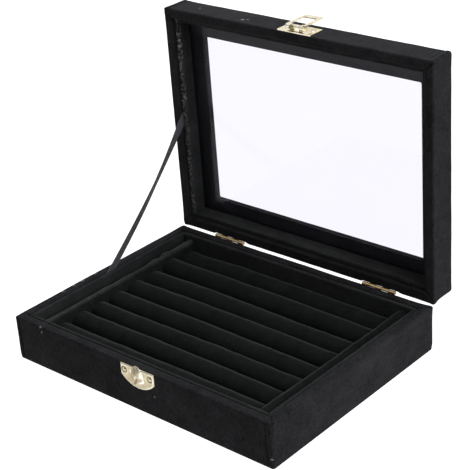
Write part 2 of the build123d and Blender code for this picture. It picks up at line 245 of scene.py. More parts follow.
def pleats(v, zr, up_sign, span, swells):
    """folded corners of the covering: a ridge with a crease on the mitre of the rim, and a lap down the corner;
    also how deep in a crease each point is, 0 to 1"""
    x, y, z = v[:, 0], v[:, 1], v[:, 2]
    u, w = W / 2 - np.abs(x), D / 2 - np.abs(y)
    out = np.zeros(len(v))
    q = (x > 0).astype(int) * 2 + (y > 0).astype(int)
    off = np.array([0.25, -0.35, -0.15, 0.3])[q]
    near_rim = np.clip(1 - np.abs(z - zr) / 2.2, 0, 1)
    corner = (u < 7.5) & (w < 7.5)
    dg = (u - w) + off
    on_rim = near_rim * corner
    full_ = np.array([1.0, 1.0, 1.45, 1.0])[q]
    out += on_rim * full_ * (0.34 * np.exp(-((dg - 0.4) / 1.25) ** 2) - 0.42 * np.exp(-((dg + 1.05) / 0.42) ** 2)
                             + 0.12 * np.exp(-((dg - 2.6) / 0.8) ** 2))
    # where most cloth was gathered a second fold lies beside the mitre
    out += on_rim * (q == 2) * (0.42 * np.exp(-((dg + 2.5) / 0.75) ** 2) - 0.25 * np.exp(-((dg + 4.0) / 0.5) ** 2)
                                - 0.22 * np.exp(-((dg - 2.9) / 0.5) ** 2) + 0.25 * np.exp(-((dg - 4.3) / 0.8) ** 2))
    # lap down the outside corner: doubled cloth between the corner and a crease on the long faces
    face = (w < 0.7)
    below = np.clip(np.abs(z - zr) / 2.0, 0, 1)
    wob = 0.35 * np.sin(z * 0.23 + q * 1.7)
    crease_at = 3.3 + wob
    out += face * below * (0.2 / (1 + np.exp((u - crease_at) / 0.35)) - 0.30 * np.exp(-((u - crease_at - 0.35) / 0.42) ** 2))
    # corners swell where the cloth is gathered, most at the rim
    swell = np.exp(-((u - 0.5) ** 2 + (w - 0.5) ** 2) / 34.0)
    edge = 0.55 + 0.45 * np.exp(-((z - zr) / 4.0) ** 2)
    out += np.array(swells)[q] * swell * edge
    # how deep in a crease each point is; the cover's material paints shade there
    crease = on_rim * np.exp(-((dg + 1.05) / 0.55) ** 2) + 0.9 * face * below * np.exp(-((u - crease_at - 0.35) / 0.5) ** 2)
    return out, np.clip(crease, 0, 1)


def paint(ob, name, values):
    """a grey value at every vertex, for the materials to read"""
    at = ob.data.color_attributes.new(name, "FLOAT_COLOR", "POINT")
    v = np.clip(np.asarray(values, float), 0, 1)
    at.data.foreach_set("color", np.column_stack([v, v, v, np.ones(len(v))]).ravel())
    return ob


def arc_pts(c0, c1, r, a0, a1, n):
    """points of an arc in (offset, z)"""
    return [(c0 + r * math.cos(math.radians(a0 + (a1 - a0) * k / n)),
             c1 + r * math.sin(math.radians(a0 + (a1 - a0) * k / n))) for k in range(n + 1)]


def steps(a, b, step):
    n = max(1, int(round(abs(b - a) / step)))
    return list(np.linspace(a, b, n + 1))


# ---------------------------------------------------------------------- materials
def new_mat(name):
    m = bpy.data.materials.new(name)
    m.use_nodes = True
    nt = m.node_tree
    nt.nodes.clear()
    out = nt.nodes.new("ShaderNodeOutputMaterial")
    bs = nt.nodes.new("ShaderNodeBsdfPrincipled")
    nt.links.new(bs.outputs[0], out.inputs[0])
    return m, nt, bs


def coords(nt, uv=False, scale=(1, 1, 1), rot=(0, 0, 0)):
    tc = nt.nodes.new("ShaderNodeTexCoord")
    mp = nt.nodes.new("ShaderNodeMapping")
    mp.inputs["Scale"].default_value = scale
    mp.inputs["Rotation"].default_value = rot
    nt.links.new(tc.outputs["UV" if uv else "Object"], mp.inputs["Vector"])
    return mp.outputs[0]


def noise_tex(nt, vec, scale, detail=4.0, rough=0.55, distort=0.0):
    n = nt.nodes.new("ShaderNodeTexNoise")
    n.inputs["Scale"].default_value = scale
    n.inputs["Detail"].default_value = detail
    n.inputs["Roughness"].default_value = rough
    n.inputs["Distortion"].default_value = distort
    nt.links.new(vec, n.inputs["Vector"])
    return n.outputs["Fac"]


def voronoi(nt, vec, scale, feature="F1", randomness=1.0):
    n = nt.nodes.new("ShaderNodeTexVoronoi")
    n.feature = feature
    n.inputs["Scale"].default_value = scale
    n.inputs["Randomness"].default_value = randomness
    nt.links.new(vec, n.inputs["Vector"])
    return n


def ramp(nt, fac, stops, mode="LINEAR"):
    r = nt.nodes.new("ShaderNodeValToRGB")
    cr = r.color_ramp
    cr.interpolation = mode
    while len(cr.elements) < len(stops):
        cr.elements.new(0.5)
    for e, (p, c) in zip(cr.elements, stops):
        e.position = p
        e.color = (c, c, c, 1) if isinstance(c, (int, float)) else (*c, 1)
    nt.links.new(fac, r.inputs["Fac"])
    return r.outputs["Color"]


def mix(nt, fac, a, b, kind="MIX"):
    m = nt.nodes.new("ShaderNodeMix")
    m.data_type = "RGBA"
    m.blend_type = kind
    for sock, val in ((m.inputs["Factor"], fac), (m.inputs["A"], a), (m.inputs["B"], b)):
        pass
    ins = {"f": m.inputs[0], "a": m.inputs[6], "b": m.inputs[7]}
    for k, val in (("f", fac), ("a", a), ("b", b)):
        if hasattr(val, "node"):
            nt.links.new(val, ins[k])
        elif k == "f":
            ins[k].default_value = val
        else:
            ins[k].default_value = (*val, 1) if len(val) == 3 else val
    return m.outputs[2]


def math_node(nt, op, a, b=None, clamp=False):
    m = nt.nodes.new("ShaderNodeMath")
    m.operation = op
    m.use_clamp = clamp
    for i, val in enumerate((a, b)):
        if val is None:
            continue
        if hasattr(val, "node"):
            nt.links.new(val, m.inputs[i])
        else:
            m.inputs[i].default_value = val
    return m.outputs[0]


def bump(nt, height, strength, distance, normal=None):
    b = nt.nodes.new("ShaderNodeBump")
    b.inputs["Strength"].default_value = strength
    b.inputs["Distance"].default_value = distance
    nt.links.new(height, b.inputs["Height"])
    if normal is not None:
        nt.links.new(normal, b.inputs["Normal"])
    return b.outputs[0]


def painted(nt, name):
    a = nt.nodes.new("ShaderNodeVertexColor")
    a.layer_name = name
    return a.outputs["Color"]


def velvet(name, dark, light, graze, sheen=0.06, sheen_rough=0.35, sheen_tint=(0.9, 0.92, 1.0), nap=34.0,
           streak=(1, 1, 1), lint=0.0, bump_big=0.35, graze_at=(0.62, 0.97), specks=(), crease=False, painted_shade_below=None, glue=False,
           mottle=0.34):
    """black pile: brushed lighter and darker patches, fine pile, a little lint, and a painted sheen: the colour
    lightened towards grazing angles
    """
    m, nt, bs = new_mat(name)
    o = coords(nt)
    st = coords(nt, scale=streak)
    patches = noise_tex(nt, st, nap, 3.0, 0.55, 0.6)
    cloud = noise_tex(nt, o, nap * 3.1, 4.0, 0.6, 0.3)
    # brush strokes where the pile has been stroked flat, two directions
    br1 = noise_tex(nt, coords(nt, scale=(0.30, 1.9, 1.6), rot=(0.15, 0.1, 0.35)), 190.0, 3.0, 0.6, 0.5)
    br2 = noise_tex(nt, coords(nt, scale=(1.9, 0.35, 1.2), rot=(-0.2, 0.3, -0.5)), 150.0, 3.0, 0.6, 0.5)
    pile = noise_tex(nt, o, 2600.0, 2.0, 0.6)
    tuft = noise_tex(nt, o, 700.0, 3.0, 0.6)
    f1 = ramp(nt, patches, [(0.34, 0.0), (0.66, 1.0)])
    f2 = ramp(nt, cloud, [(0.38, 0.0), (0.66, 1.0)])
    f3 = ramp(nt, tuft, [(0.32, 0.0), (0.70, 1.0)])
    fb = mix(nt, f1, ramp(nt, br1, [(0.40, 0.0), (0.64, 1.0)]), ramp(nt, br2, [(0.40, 0.0), (0.64, 1.0)]))
    f = mix(nt, 0.38, f1, f2)
    f = mix(nt, 0.30, f, fb)
    f = mix(nt, mottle, f, f3)
    col = mix(nt, f, dark, light)
    pf = ramp(nt, pile, [(0.3, 0.52), (0.7, 1.44)])
    col = mix(nt, 1.0, col, pf, "MULTIPLY")
    # painted sheen: towards grazing angles the base colour turns to the graze colour, varied by the tufts
    lw = nt.nodes.new("ShaderNodeLayerWeight")
    lw.inputs["Blend"].default_value = 0.5
    gz = ramp(nt, lw.outputs["Facing"], [(graze_at[0], 0.0), (graze_at[1], 1.0)], "EASE")
    gz = mix(nt, 1.0, gz, ramp(nt, tuft, [(0.25, 0.45), (0.75, 1.0)]), "MULTIPLY")
    col = mix(nt, gz, col, graze)
    # painted shade: the colour is darkened below a given height, down into the valleys between the rolls, so the crests
    # stay paler
    if painted_shade_below is not None:
        sz = nt.nodes.new("ShaderNodeSeparateXYZ")
        nt.links.new(o, sz.inputs[0])
        mr = nt.nodes.new("ShaderNodeMapRange")
        mr.inputs["From Min"].default_value, mr.inputs["From Max"].default_value = painted_shade_below[0], painted_shade_below[1]
        mr.inputs["To Min"].default_value, mr.inputs["To Max"].default_value = painted_shade_below[2], 1.0
        nt.links.new(sz.outputs["Z"], mr.inputs["Value"])
        col = mix(nt, 1.0, col, mr.outputs[0], "MULTIPLY")
    # painted shade: darker along the creases of the folded corners, as deep as each point lies in a crease
    if crease:
        col = mix(nt, 1.0, col, ramp(nt, painted(nt, "crease"), [(0.0, 1.0), (1.0, 0.22)]), "MULTIPLY")
        # painted light: the strip the glass lies on is painted paler, standing in for the light the glass keeps from it
        col = mix(nt, painted(nt, "painted_light_behind_glass"), col, mix(nt, f, (0.028, 0.029, 0.030), (0.062, 0.063, 0.066)))
    if glue:
        dots = ramp(nt, noise_tex(nt, o, 620.0, 4.0, 0.7, 0.4), [(0.50, 0.0), (0.60, 1.0)])
        dots = mix(nt, 1.0, dots, painted(nt, "glue"), "MULTIPLY")
        col = mix(nt, dots, col, mix(nt, f3, (0.05, 0.05, 0.05), (0.32, 0.32, 0.31)))
    for px, py_, pz_, rad, tone in specks:
        dn = nt.nodes.new("ShaderNodeVectorMath")
        dn.operation = "DISTANCE"
        wob = nt.nodes.new("ShaderNodeVectorMath")
        wob.operation = "MULTIPLY_ADD"
        nt.links.new(o, wob.inputs[0])
        wob.inputs[1].default_value = (1, 1, 1)
        off = mix(nt, 1.0, (rad * 1.1, rad * 1.1, rad * 1.1), ramp(nt, tuft, [(0.3, 0.0), (0.7, 1.0)]), "MULTIPLY")
        nt.links.new(off, wob.inputs[2])
        nt.links.new(wob.outputs[0], dn.inputs[0])
        dn.inputs[1].default_value = (px * 0.001 + rad * 0.5, py_ * 0.001 + rad * 0.5, pz_ * 0.001 + rad * 0.5)
        fs = nt.nodes.new("ShaderNodeMapRange")
        fs.inputs["From Min"].default_value, fs.inputs["From Max"].default_value = rad * 0.45, rad
        fs.inputs["To Min"].default_value, fs.inputs["To Max"].default_value = 1.0, 0.0
        nt.links.new(dn.outputs["Value"], fs.inputs["Value"])
        col = mix(nt, fs.outputs[0], col, (tone, tone, tone * 1.03))
    if lint > 0:
        for sc, rad, amount, tone in ((150.0, 0.075, lint, 0.085), (95.0, 0.05, lint * 0.7, 0.16)):
            vo = voronoi(nt, coords(nt, scale=(1, 1, 1), rot=(0.1, 0.2, sc)), sc)
            near = ramp(nt, vo.outputs["Distance"], [(0.0, 1.0), (rad, 0.0)])
            sep = nt.nodes.new("ShaderNodeSeparateColor")
            nt.links.new(vo.outputs["Color"], sep.inputs[0])
            rare = ramp(nt, sep.outputs[0], [(1.0 - amount, 0.0), (1.0 - amount * 0.9, 1.0)])
            spk = mix(nt, 1.0, near, rare, "MULTIPLY")
            col = mix(nt, spk, col, (tone, tone, tone * 1.04))
    nt.links.new(col, bs.inputs["Base Color"])
    rg = ramp(nt, tuft, [(0.2, 0.82), (0.8, 1.0)])
    nt.links.new(rg, bs.inputs["Roughness"])
    bs.inputs["Specular IOR Level"].default_value = 0.04
    bs.inputs["Sheen Weight"].default_value = sheen
    bs.inputs["Sheen Roughness"].default_value = sheen_rough
    bs.inputs["Sheen Tint"].default_value = (*sheen_tint, 1)
    n1 = bump(nt, patches, bump_big, 0.0015)
    n2 = bump(nt, cloud, 0.5, 0.0006, n1)
    n3 = bump(nt, tuft, 0.6, 0.00025, n2)
    n4 = bump(nt, pile, 0.5, 0.00012, n3)
    nt.links.new(n4, bs.inputs["Normal"])
    return m


def brass(name, base=(0.80, 0.66, 0.40), pale=(0.90, 0.82, 0.62), rough=(0.16, 0.34), hammer=0.12, dull_and_painted_light=None, tarn=(0.60, 0.78),
          line=None, painted_shade_spots=()):
    m, nt, bs = new_mat(name)
    o = coords(nt)
    big = noise_tex(nt, o, 260.0, 3.0, 0.6, 0.4)
    fine = noise_tex(nt, o, 1700.0, 4.0, 0.65)
    scr = noise_tex(nt, coords(nt, scale=(1, 14, 1), rot=(0.2, 0.1, 0.6)), 900.0, 2.0, 0.5)
    tarnish = ramp(nt, noise_tex(nt, o, 520.0, 5.0, 0.7, 0.8), [(tarn[0], 0.0), (tarn[1], 1.0)])
    col = mix(nt, ramp(nt, big, [(0.3, 0.0), (0.7, 1.0)]), base, pale)
    col = mix(nt, math_node(nt, "MULTIPLY", tarnish, 0.45), col, (0.36, 0.27, 0.13))
    if dull_and_painted_light is not None:
        # tan in the hollows, where the polish has not reached, and rubbed bright on the raised edges, from a painted
        # map; on the catch plate the same map also holds painted highlights, painted reflection and painted shade
        wear = ramp(nt, painted(nt, "dull_and_painted_light"), [(0.5, 0.0), (1.0, 1.0)])
        mott = ramp(nt, noise_tex(nt, o, 900.0, 5.0, 0.7, 0.6), [(0.35, 0.55), (0.65, 1.0)])
        col = mix(nt, mix(nt, 1.0, wear, mott, "MULTIPLY"), col, dull_and_painted_light)
        col = mix(nt, ramp(nt, painted(nt, "dull_and_painted_light"), [(0.0, 1.0), (0.5, 0.0)]), col, (0.95, 0.93, 0.86))
    if line is not None:
        # painted reflection: the colour turns brown towards grazing angles, leaving a thin bright line of light along
        # the round of the knuckles
        lw = nt.nodes.new("ShaderNodeLayerWeight")
        lw.inputs["Blend"].default_value = 0.5
        col = mix(nt, ramp(nt, lw.outputs["Facing"], [(0.18, 0.0), (0.48, 1.0)]), col, line)
    for px, py_, pz_, rad, tone in painted_shade_spots:
        # painted shade: a dark olive patch on the shaded side of the clasp's knuckle, near-black in the hole of its
        # rolled end and dark beside it
        dn = nt.nodes.new("ShaderNodeVectorMath")
        dn.operation = "DISTANCE"
        nt.links.new(o, dn.inputs[0])
        dn.inputs[1].default_value = (px * 0.001, py_ * 0.001, pz_ * 0.001)
        fs = nt.nodes.new("ShaderNodeMapRange")
        fs.inputs["From Min"].default_value, fs.inputs["From Max"].default_value = rad * 0.7, rad
        fs.inputs["To Min"].default_value, fs.inputs["To Max"].default_value = 1.0, 0.0
        nt.links.new(dn.outputs["Value"], fs.inputs["Value"])
        patchy = ramp(nt, noise_tex(nt, o, 1300.0, 3.0, 0.6), [(0.36, 0.15), (0.46, 1.0)])
        col = mix(nt, mix(nt, 1.0, fs.outputs[0], patchy, "MULTIPLY"), col, tone)
    nt.links.new(col, bs.inputs["Base Color"])
    bs.inputs["Metallic"].default_value = 1.0
    r = ramp(nt, scr, [(0.25, rough[0]), (0.8, rough[1])])
    nt.links.new(r, bs.inputs["Roughness"])
    n1 = bump(nt, big, hammer, 0.0004)
    n2 = bump(nt, fine, 0.18, 0.00006, n1)
    n3 = bump(nt, scr, 0.10, 0.00004, n2)
    nt.links.new(n3, bs.inputs["Normal"])
    return m


def board(name):
    m, nt, bs = new_mat(name)
    o = coords(nt, scale=(1, 1, 3.0))
    a = noise_tex(nt, o, 900.0, 5.0, 0.7)
    b = noise_tex(nt, o, 90.0, 3.0, 0.5, 0.5)
    col = mix(nt, ramp(nt, a, [(0.3, 0.0), (0.72, 1.0)]), (0.20, 0.13, 0.075), (0.44, 0.32, 0.20))
    col = mix(nt, ramp(nt, b, [(0.4, 0.0), (0.7, 0.5)]), col, (0.30, 0.20, 0.12))
    nt.links.new(col, bs.inputs["Base Color"])
    nt.links.new(ramp(nt, a, [(0.2, 0.7), (0.8, 0.95)]), bs.inputs["Roughness"])
    nt.links.new(bump(nt, a, 0.5, 0.0002), bs.inputs["Normal"])
    return m


def foam(name):
    m, nt, bs = new_mat(name)
    o = coords(nt)
    v = voronoi(nt, o, 900.0)
    cells = ramp(nt, v.outputs["Distance"], [(0.0, 0.0), (0.6, 1.0)])
    n = noise_tex(nt, o, 60.0, 3.0)
    col = mix(nt, cells, (0.38, 0.35, 0.28), (0.66, 0.62, 0.52))
    col = mix(nt, ramp(nt, n, [(0.4, 0.0), (0.8, 0.4)]), col, (0.6, 0.52, 0.36))
    nt.links.new(col, bs.inputs["Base Color"])
    nt.links.new(ramp(nt, n, [(0.3, 0.85), (0.7, 0.98)]), bs.inputs["Roughness"])
    bs.inputs["Specular IOR Level"].default_value = 0.2
    nt.links.new(bump(nt, cells, 0.8, 0.0004), bs.inputs["Normal"])
    return m


def felt(name):
    m, nt, bs = new_mat(name)
    o = coords(nt)
    a = noise_tex(nt, coords(nt, scale=(1, 3.5, 1), rot=(0, 0, 0.7)), 620.0, 5.0, 0.7, 1.2)
    b = noise_tex(nt, coords(nt, scale=(3.5, 1, 1), rot=(0, 0, -0.4)), 560.0, 5.0, 0.7, 1.2)
    c = noise_tex(nt, o, 45.0, 3.0)
    fa = mix(nt, 0.5, a, b)
    col = mix(nt, ramp(nt, fa, [(0.36, 0.0), (0.64, 1.0)]), (0.008, 0.008, 0.009), (0.035, 0.035, 0.038))
    col = mix(nt, ramp(nt, c, [(0.45, 0.0), (0.75, 0.35)]), col, (0.03, 0.03, 0.032))
    nt.links.new(col, bs.inputs["Base Color"])
    nt.links.new(ramp(nt, c, [(0.3, 0.88), (0.7, 1.0)]), bs.inputs["Roughness"])
    bs.inputs["Specular IOR Level"].default_value = 0.1
    bs.inputs["Sheen Weight"].default_value = 0.05
    bs.inputs["Sheen Roughness"].default_value = 0.6
    nt.links.new(bump(nt, fa, 0.8, 0.0003), bs.inputs["Normal"])
    return m


def glass(name):
    m, nt, bs = new_mat(name)
    o = coords(nt)
    smear = noise_tex(nt, o, 30.0, 4.0, 0.6, 1.0)
    col = mix(nt, ramp(nt, smear, [(0.35, 0.0), (0.75, 1.0)]), (0.756, 0.747, 0.803), (0.752, 0.743, 0.799))
    nt.links.new(col, bs.inputs["Base Color"])
    nt.links.new(ramp(nt, smear, [(0.5, 0.0), (0.9, 0.012)]), bs.inputs["Roughness"])
    bs.inputs["Transmission Weight"].default_value = 1.0
    bs.inputs["IOR"].default_value = 1.16
    return m


def ribbon_mat(name):
    """satin ribbon, woven on the diagonal; its UV runs 0..1 across and in mm along"""
    m, nt, bs = new_mat(name)
    uv = coords(nt, uv=True, scale=(1, 1, 1))
    w = nt.nodes.new("ShaderNodeTexWave")
    w.wave_type, w.bands_direction = "BANDS", "DIAGONAL"
    w.inputs["Scale"].default_value = 1.5
    w.inputs["Distortion"].default_value = 0.4
    w.inputs["Detail"].default_value = 1.0
    nt.links.new(uv, w.inputs["Vector"])
    n = noise_tex(nt, uv, 0.35, 3.0)
    col = mix(nt, w.outputs["Fac"], (0.018, 0.018, 0.020), (0.045, 0.046, 0.050))
    col = mix(nt, ramp(nt, n, [(0.4, 0.0), (0.75, 0.5)]), col, (0.05, 0.05, 0.055))
    nt.links.new(col, bs.inputs["Base Color"])
    nt.links.new(ramp(nt, n, [(0.3, 0.42), (0.7, 0.6)]), bs.inputs["Roughness"])
    bs.inputs["Specular IOR Level"].default_value = 0.25
    bs.inputs["Sheen Weight"].default_value = 0.05
    nt.links.new(bump(nt, w.outputs["Fac"], 0.5, 0.0001), bs.inputs["Normal"])
    return m


def glue_mat(name):
    m, nt, bs = new_mat(name)
    o = coords(nt)
    a = noise_tex(nt, o, 1400.0, 4.0, 0.7)
    col = mix(nt, ramp(nt, a, [(0.35, 0.0), (0.7, 1.0)]), (0.05, 0.05, 0.05), (0.34, 0.34, 0.33))
    nt.links.new(col, bs.inputs["Base Color"])
    nt.links.new(ramp(nt, a, [(0.3, 0.35), (0.7, 0.8)]), bs.inputs["Roughness"])
    nt.links.new(bump(nt, a, 0.6, 0.0002), bs.inputs["Normal"])
    return m


COVER_SPECKS = [(-77.5, -75.2, 28.4, 0.0010, 0.13), (-76.3, -75.2, 25.6, 0.0008, 0.11), (15.2, -75.2, 14.0, 0.0009, 0.10),
                (99.6, -75.3, 6.6, 0.0010, 0.13), (-78.4, 85.2, 180.3, 0.0009, 0.20), (-39.4, 80.7, 180.3, 0.0012, 0.22),
                (-36.7, 82.1, 180.3, 0.0008, 0.18), (-20.5, 67.6, 180.3, 0.0009, 0.15), (-98.6, -36.5, 28.9, 0.0012, 0.11),
                (-98.4, -27.4, 28.9, 0.0010, 0.12), (-98.7, -20.1, 28.9, 0.0014, 0.10), (-98.5, -8.7, 28.9, 0.0009, 0.11)]
M_OUT = velvet("velvet_cover", (0.0012, 0.0012, 0.0013), (0.0184, 0.0185, 0.0200), (0.0326, 0.0326, 0.0355), sheen=0.04, lint=0.02,
               specks=COVER_SPECKS, crease=True, mottle=0.46)
# painted light: the liners are a paler copy of the cover's velvet, standing in for light reaching the recesses; the
# lid-liner copy, used for the lid liners and the base's back liner, is paler still
M_LIN = velvet("velvet_liner", (0.0045, 0.0046, 0.0046), (0.0175, 0.0179, 0.0179), (0.034, 0.035, 0.035), sheen=0.04, lint=0.01,
               nap=55.0, glue=True)
M_LIN_LID = velvet("velvet_lid_liner", (0.0058, 0.0060, 0.0058), (0.0230, 0.0236, 0.0232), (0.042, 0.043, 0.043), sheen=0.04,
                   lint=0.01, nap=55.0, glue=True)
# painted shade: the ring rolls are darkened below 17.6 mm, down in the valleys between them
M_ROLL = velvet("velvet_rolls", (0.0017, 0.0021, 0.0019), (0.0062, 0.0073, 0.0066), (0.020, 0.0225, 0.0215), sheen=0.02,
                sheen_tint=(0.88, 1.0, 0.95), lint=0.008, nap=60.0, streak=(1.6, 0.45, 0.45), graze_at=(0.52, 0.90),
                painted_shade_below=(0.0176, 0.0210, 0.74), specks=[(46.0, 30.6, 23.3, 0.0008, 0.10), (53.4, 1.0, 23.0, 0.0008, 0.07)])
# painted light: the left side roll is a far paler copy of the roll velvet, kept pale only on its crest and darkened
# below 23.6 mm (painted shade)
M_SIDE = velvet("velvet_side_rolls", (0.0054, 0.0059, 0.0057), (0.0280, 0.0296, 0.0290), (0.040, 0.042, 0.042), sheen=0.02,
                sheen_tint=(0.9, 1.0, 0.96), lint=0.008, nap=60.0, streak=(0.45, 1.6, 0.45), graze_at=(0.50, 0.90),
                painted_shade_below=(0.0236, 0.0251, 0.24))
M_PAD = velvet("velvet_pad", (0.0018, 0.0020, 0.0019), (0.005, 0.0056, 0.0054), (0.012, 0.012, 0.012), sheen=0.03)
M_BRASS = brass("brass_catch", base=(0.44, 0.375, 0.24), pale=(0.66, 0.58, 0.42), rough=(0.20, 0.40), dull_and_painted_light=(0.12, 0.085, 0.025))
M_BRASS_P = brass("brass_clasp", base=(0.74, 0.64, 0.40), pale=(0.97, 0.94, 0.84), rough=(0.10, 0.28), hammer=0.35, tarn=(0.50, 0.62),
                  painted_shade_spots=[(0.9, 78.3, 182.0, 0.0031, (0.13, 0.11, 0.025)), (9.3, 78.4, 184.2, 0.0010, (0.006, 0.004, 0.001)),
                         (7.6, 77.5, 181.0, 0.0014, (0.10, 0.075, 0.01))])
M_BRASS_H = brass("brass_hinge", base=(0.62, 0.43, 0.18), pale=(0.76, 0.60, 0.32), rough=(0.22, 0.38), hammer=0.05, line=(0.16, 0.08, 0.012))
M_NAIL = brass("brass_nail", base=(0.50, 0.41, 0.26), pale=(0.82, 0.74, 0.58), rough=(0.18, 0.35), tarn=(0.46, 0.58))
M_BOARD = board("fibre_board")
M_FOAM = foam("foam")
M_FELT = felt("felt")
M_GLASS = glass("window_glass")
M_RIB = ribbon_mat("ribbon")
M_GLUE = glue_mat("dried_glue")


def give(ob, mat):
    ob.data.materials.clear()
    ob.data.materials.append(mat)
    return ob


# ----------------------------------------------------------- carried-over CAD nodes
for n, ob in NODES.items():
    if "wall" in n or "rail" in n or n == "base_floor_board":
        give(ob, M_BOARD)
    elif n == "glass_pane":
        give(ob, M_GLASS)
    elif "nails" in n:
        give(ob, M_NAIL)
    elif n.startswith("hinge"):
        give(ob, M_BRASS_H)
    elif n in ("latch_plate", "latch_hasp", "latch_pin"):
        give(ob, M_BRASS_P)

# ------------------------------------------------------------------- base covering
RI, RO, RF = 1.15, 1.15, 0.35  # rounding of the rim, inside and outside, and of the foot
T = 5.5                        # covered wall
outer = []
outer += [(T, z) for z in steps(14.8, H_BASE - RI, 1.5)]
outer += arc_pts(T - RI, H_BASE - RI, RI, 0, 90, 6)[1:]
outer += [(d, H_BASE) for d in steps(T - RI, RO, 0.45)[1:]]
outer += arc_pts(RO, H_BASE - RO, RO, 90, 180, 7)[1:]
outer += [(0, z) for z in steps(H_BASE - RO, T_FELT + RF, 1.25)[1:]]
outer += arc_pts(RF, T_FELT + RF, RF, 180, 270, 5)[1:]
outer += [(d, T_FELT) for d in (0.9, 1.4, 2.0)] + [(d, T_FELT) for d in steps(2.0, 9.6, 1.6)[1:]]
zu, zi = T_FELT + 0.54, H_BASE - 0.66
inner = [(9.6, zu), (5.0, zu), (0.66, zu), (0.66, 10.0), (0.66, 20.0), (0.66, zi), (3.0, zi), (4.84, zi), (4.84, 20.0), (4.84, 14.8)]


def corner_r(d, z):
    return max(0.5, 1.7 - d)


prof = [(inset(d, corner_r(d, z)), z) for d, z in outer] + [(inset(d, 0.5), z) for d, z in inner]
v, f, ns = ring_sweep(prof)
f = [q[::-1] for q in f]
nrm = normals_of(v, f)
if (nrm[:ns * len(outer)] * (v[:ns * len(outer)] - np.array([0, 0, 14.0]))).sum(1)[ns * 40:ns * 41].mean() < 0:
    f = [q[::-1] for q in f]
    nrm = -nrm
k = ns * len(outer)
mask = np.zeros(len(v)); mask[:k] = 1.0
vo_, zz = v[:k], v[:k, 2]
side = np.clip((zz - 0.6) / 3.0, 0.0, 1)
disp = side * (0.16 + 0.17 * fnoise(vo_, 33.0, 1.0) + 0.10 * fnoise(vo_, 9.0, 2.0) + 0.035 * fnoise(vo_, 2.6, 3.0))
fold, crease = pleats(vo_, H_BASE, 1, 26.0, (-0.10, 0.15, 0.22, 0.50))
disp += side * fold
disp = np.maximum(disp, -0.30)
inside = (np.abs(vo_[:, 0]) < W / 2 - 4.6) & (np.abs(vo_[:, 1]) < D / 2 - 4.6)
disp[inside] *= 0.45
edge_in = np.minimum(W / 2 - np.abs(vo_[:, 0]), D / 2 - np.abs(vo_[:, 1]))
sag = 0.36 * np.exp(-np.maximum(zz - T_FELT, 0) / 0.9) * np.clip((1.9 - edge_in) / 0.8, 0, 1)
v[:k] += nrm[:k] * disp[:, None]
v[:k, 2] -= sag
# shut, the two rims lie pile on pile, so neither stands past the middle of the gap
over = v[:k, 2] - (H_BASE - 0.12)
v[:k, 2] = np.where(over > 0, H_BASE - 0.12 + 0.30 * (1 - np.exp(-np.maximum(over, 0) / 0.30)), v[:k, 2])
base_cover = give(add_object("base_velvet_cover", v, f), M_OUT)
paint(base_cover, "crease", np.concatenate([crease, np.zeros(len(v) - k)]))
paint(base_cover, "painted_light_behind_glass", np.zeros(len(v)))
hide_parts("base_velvet_wrap")
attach(base_cover, "base")

# -------------------------------------------------------------------- lid covering
outer = []
RL = 1.15
outer += [(T, Z0 + 9.0 - i * 1.5) for i in range(5)]
outer += [(T, z) for z in steps(Z0 + 2.2, Z0 + RL, 0.6)]
outer += [(a, 2 * Z0 - b) for a, b in arc_pts(T - RL, Z0 - RL, RL, 0, 90, 6)[1:]]
outer += [(d, Z0) for d in steps(T - RL, RL, 0.45)[1:]]
outer += [(a, 2 * Z0 - b) for a, b in arc_pts(RL, Z0 - RL, RL, 90, 180, 7)[1:]]
outer += [(0, z) for z in steps(Z0 + RL, ZT - RL, 1.2)[1:]]
outer += arc_pts(RL, ZT - RL, RL, 180, 90, 8)[1:]
n_side = len(outer)
prof = [(inset(d, corner_r(d, z)), z) for d, z in outer]
WIN = (-81.6, 82.6, -54.9, 58.1, 0.9)
A = inset(RL, 0.6)
EDGE_R = 1.1


def lerp_rect(a, b, t):
    return tuple(a[i] + (b[i] - a[i]) * t for i in range(5))


top_end = (WIN[0] - EDGE_R, WIN[1] + EDGE_R, WIN[2] - EDGE_R, WIN[3] + EDGE_R, 1.6)
for t in steps(0, 1, 1.0 / 10)[1:]:
    prof.append((lerp_rect(A, top_end, t), ZT))
for g in range(1, 6):
    a = math.radians(90.0 * g / 5)
    e = EDGE_R * (1 - math.sin(a))
    prof.append(((WIN[0] - e, WIN[1] + e, WIN[2] - e, WIN[3] + e, 0.9 + 0.6 * (1 - math.sin(a))), ZT - EDGE_R * (1 - math.cos(a))))
for z in steps(ZT - EDGE_R, ZG + 0.33, 0.7)[1:]:
    prof.append((WIN, z))
prof.append(((WIN[0] - 0.08, WIN[1] + 0.08, WIN[2] - 0.08, WIN[3] + 0.08, 1.0), ZG + 0.1))
for e in (0.5, 3.0, 6.5):
    prof.append(((WIN[0] - e, WIN[1] + e, WIN[2] - e, WIN[3] + e, 1.2), ZG + 0.04))
prof.append(((-95.0, 95.0, -70.0, 70.0, 1.2), ZG + 0.04))
n_outer = len(prof)
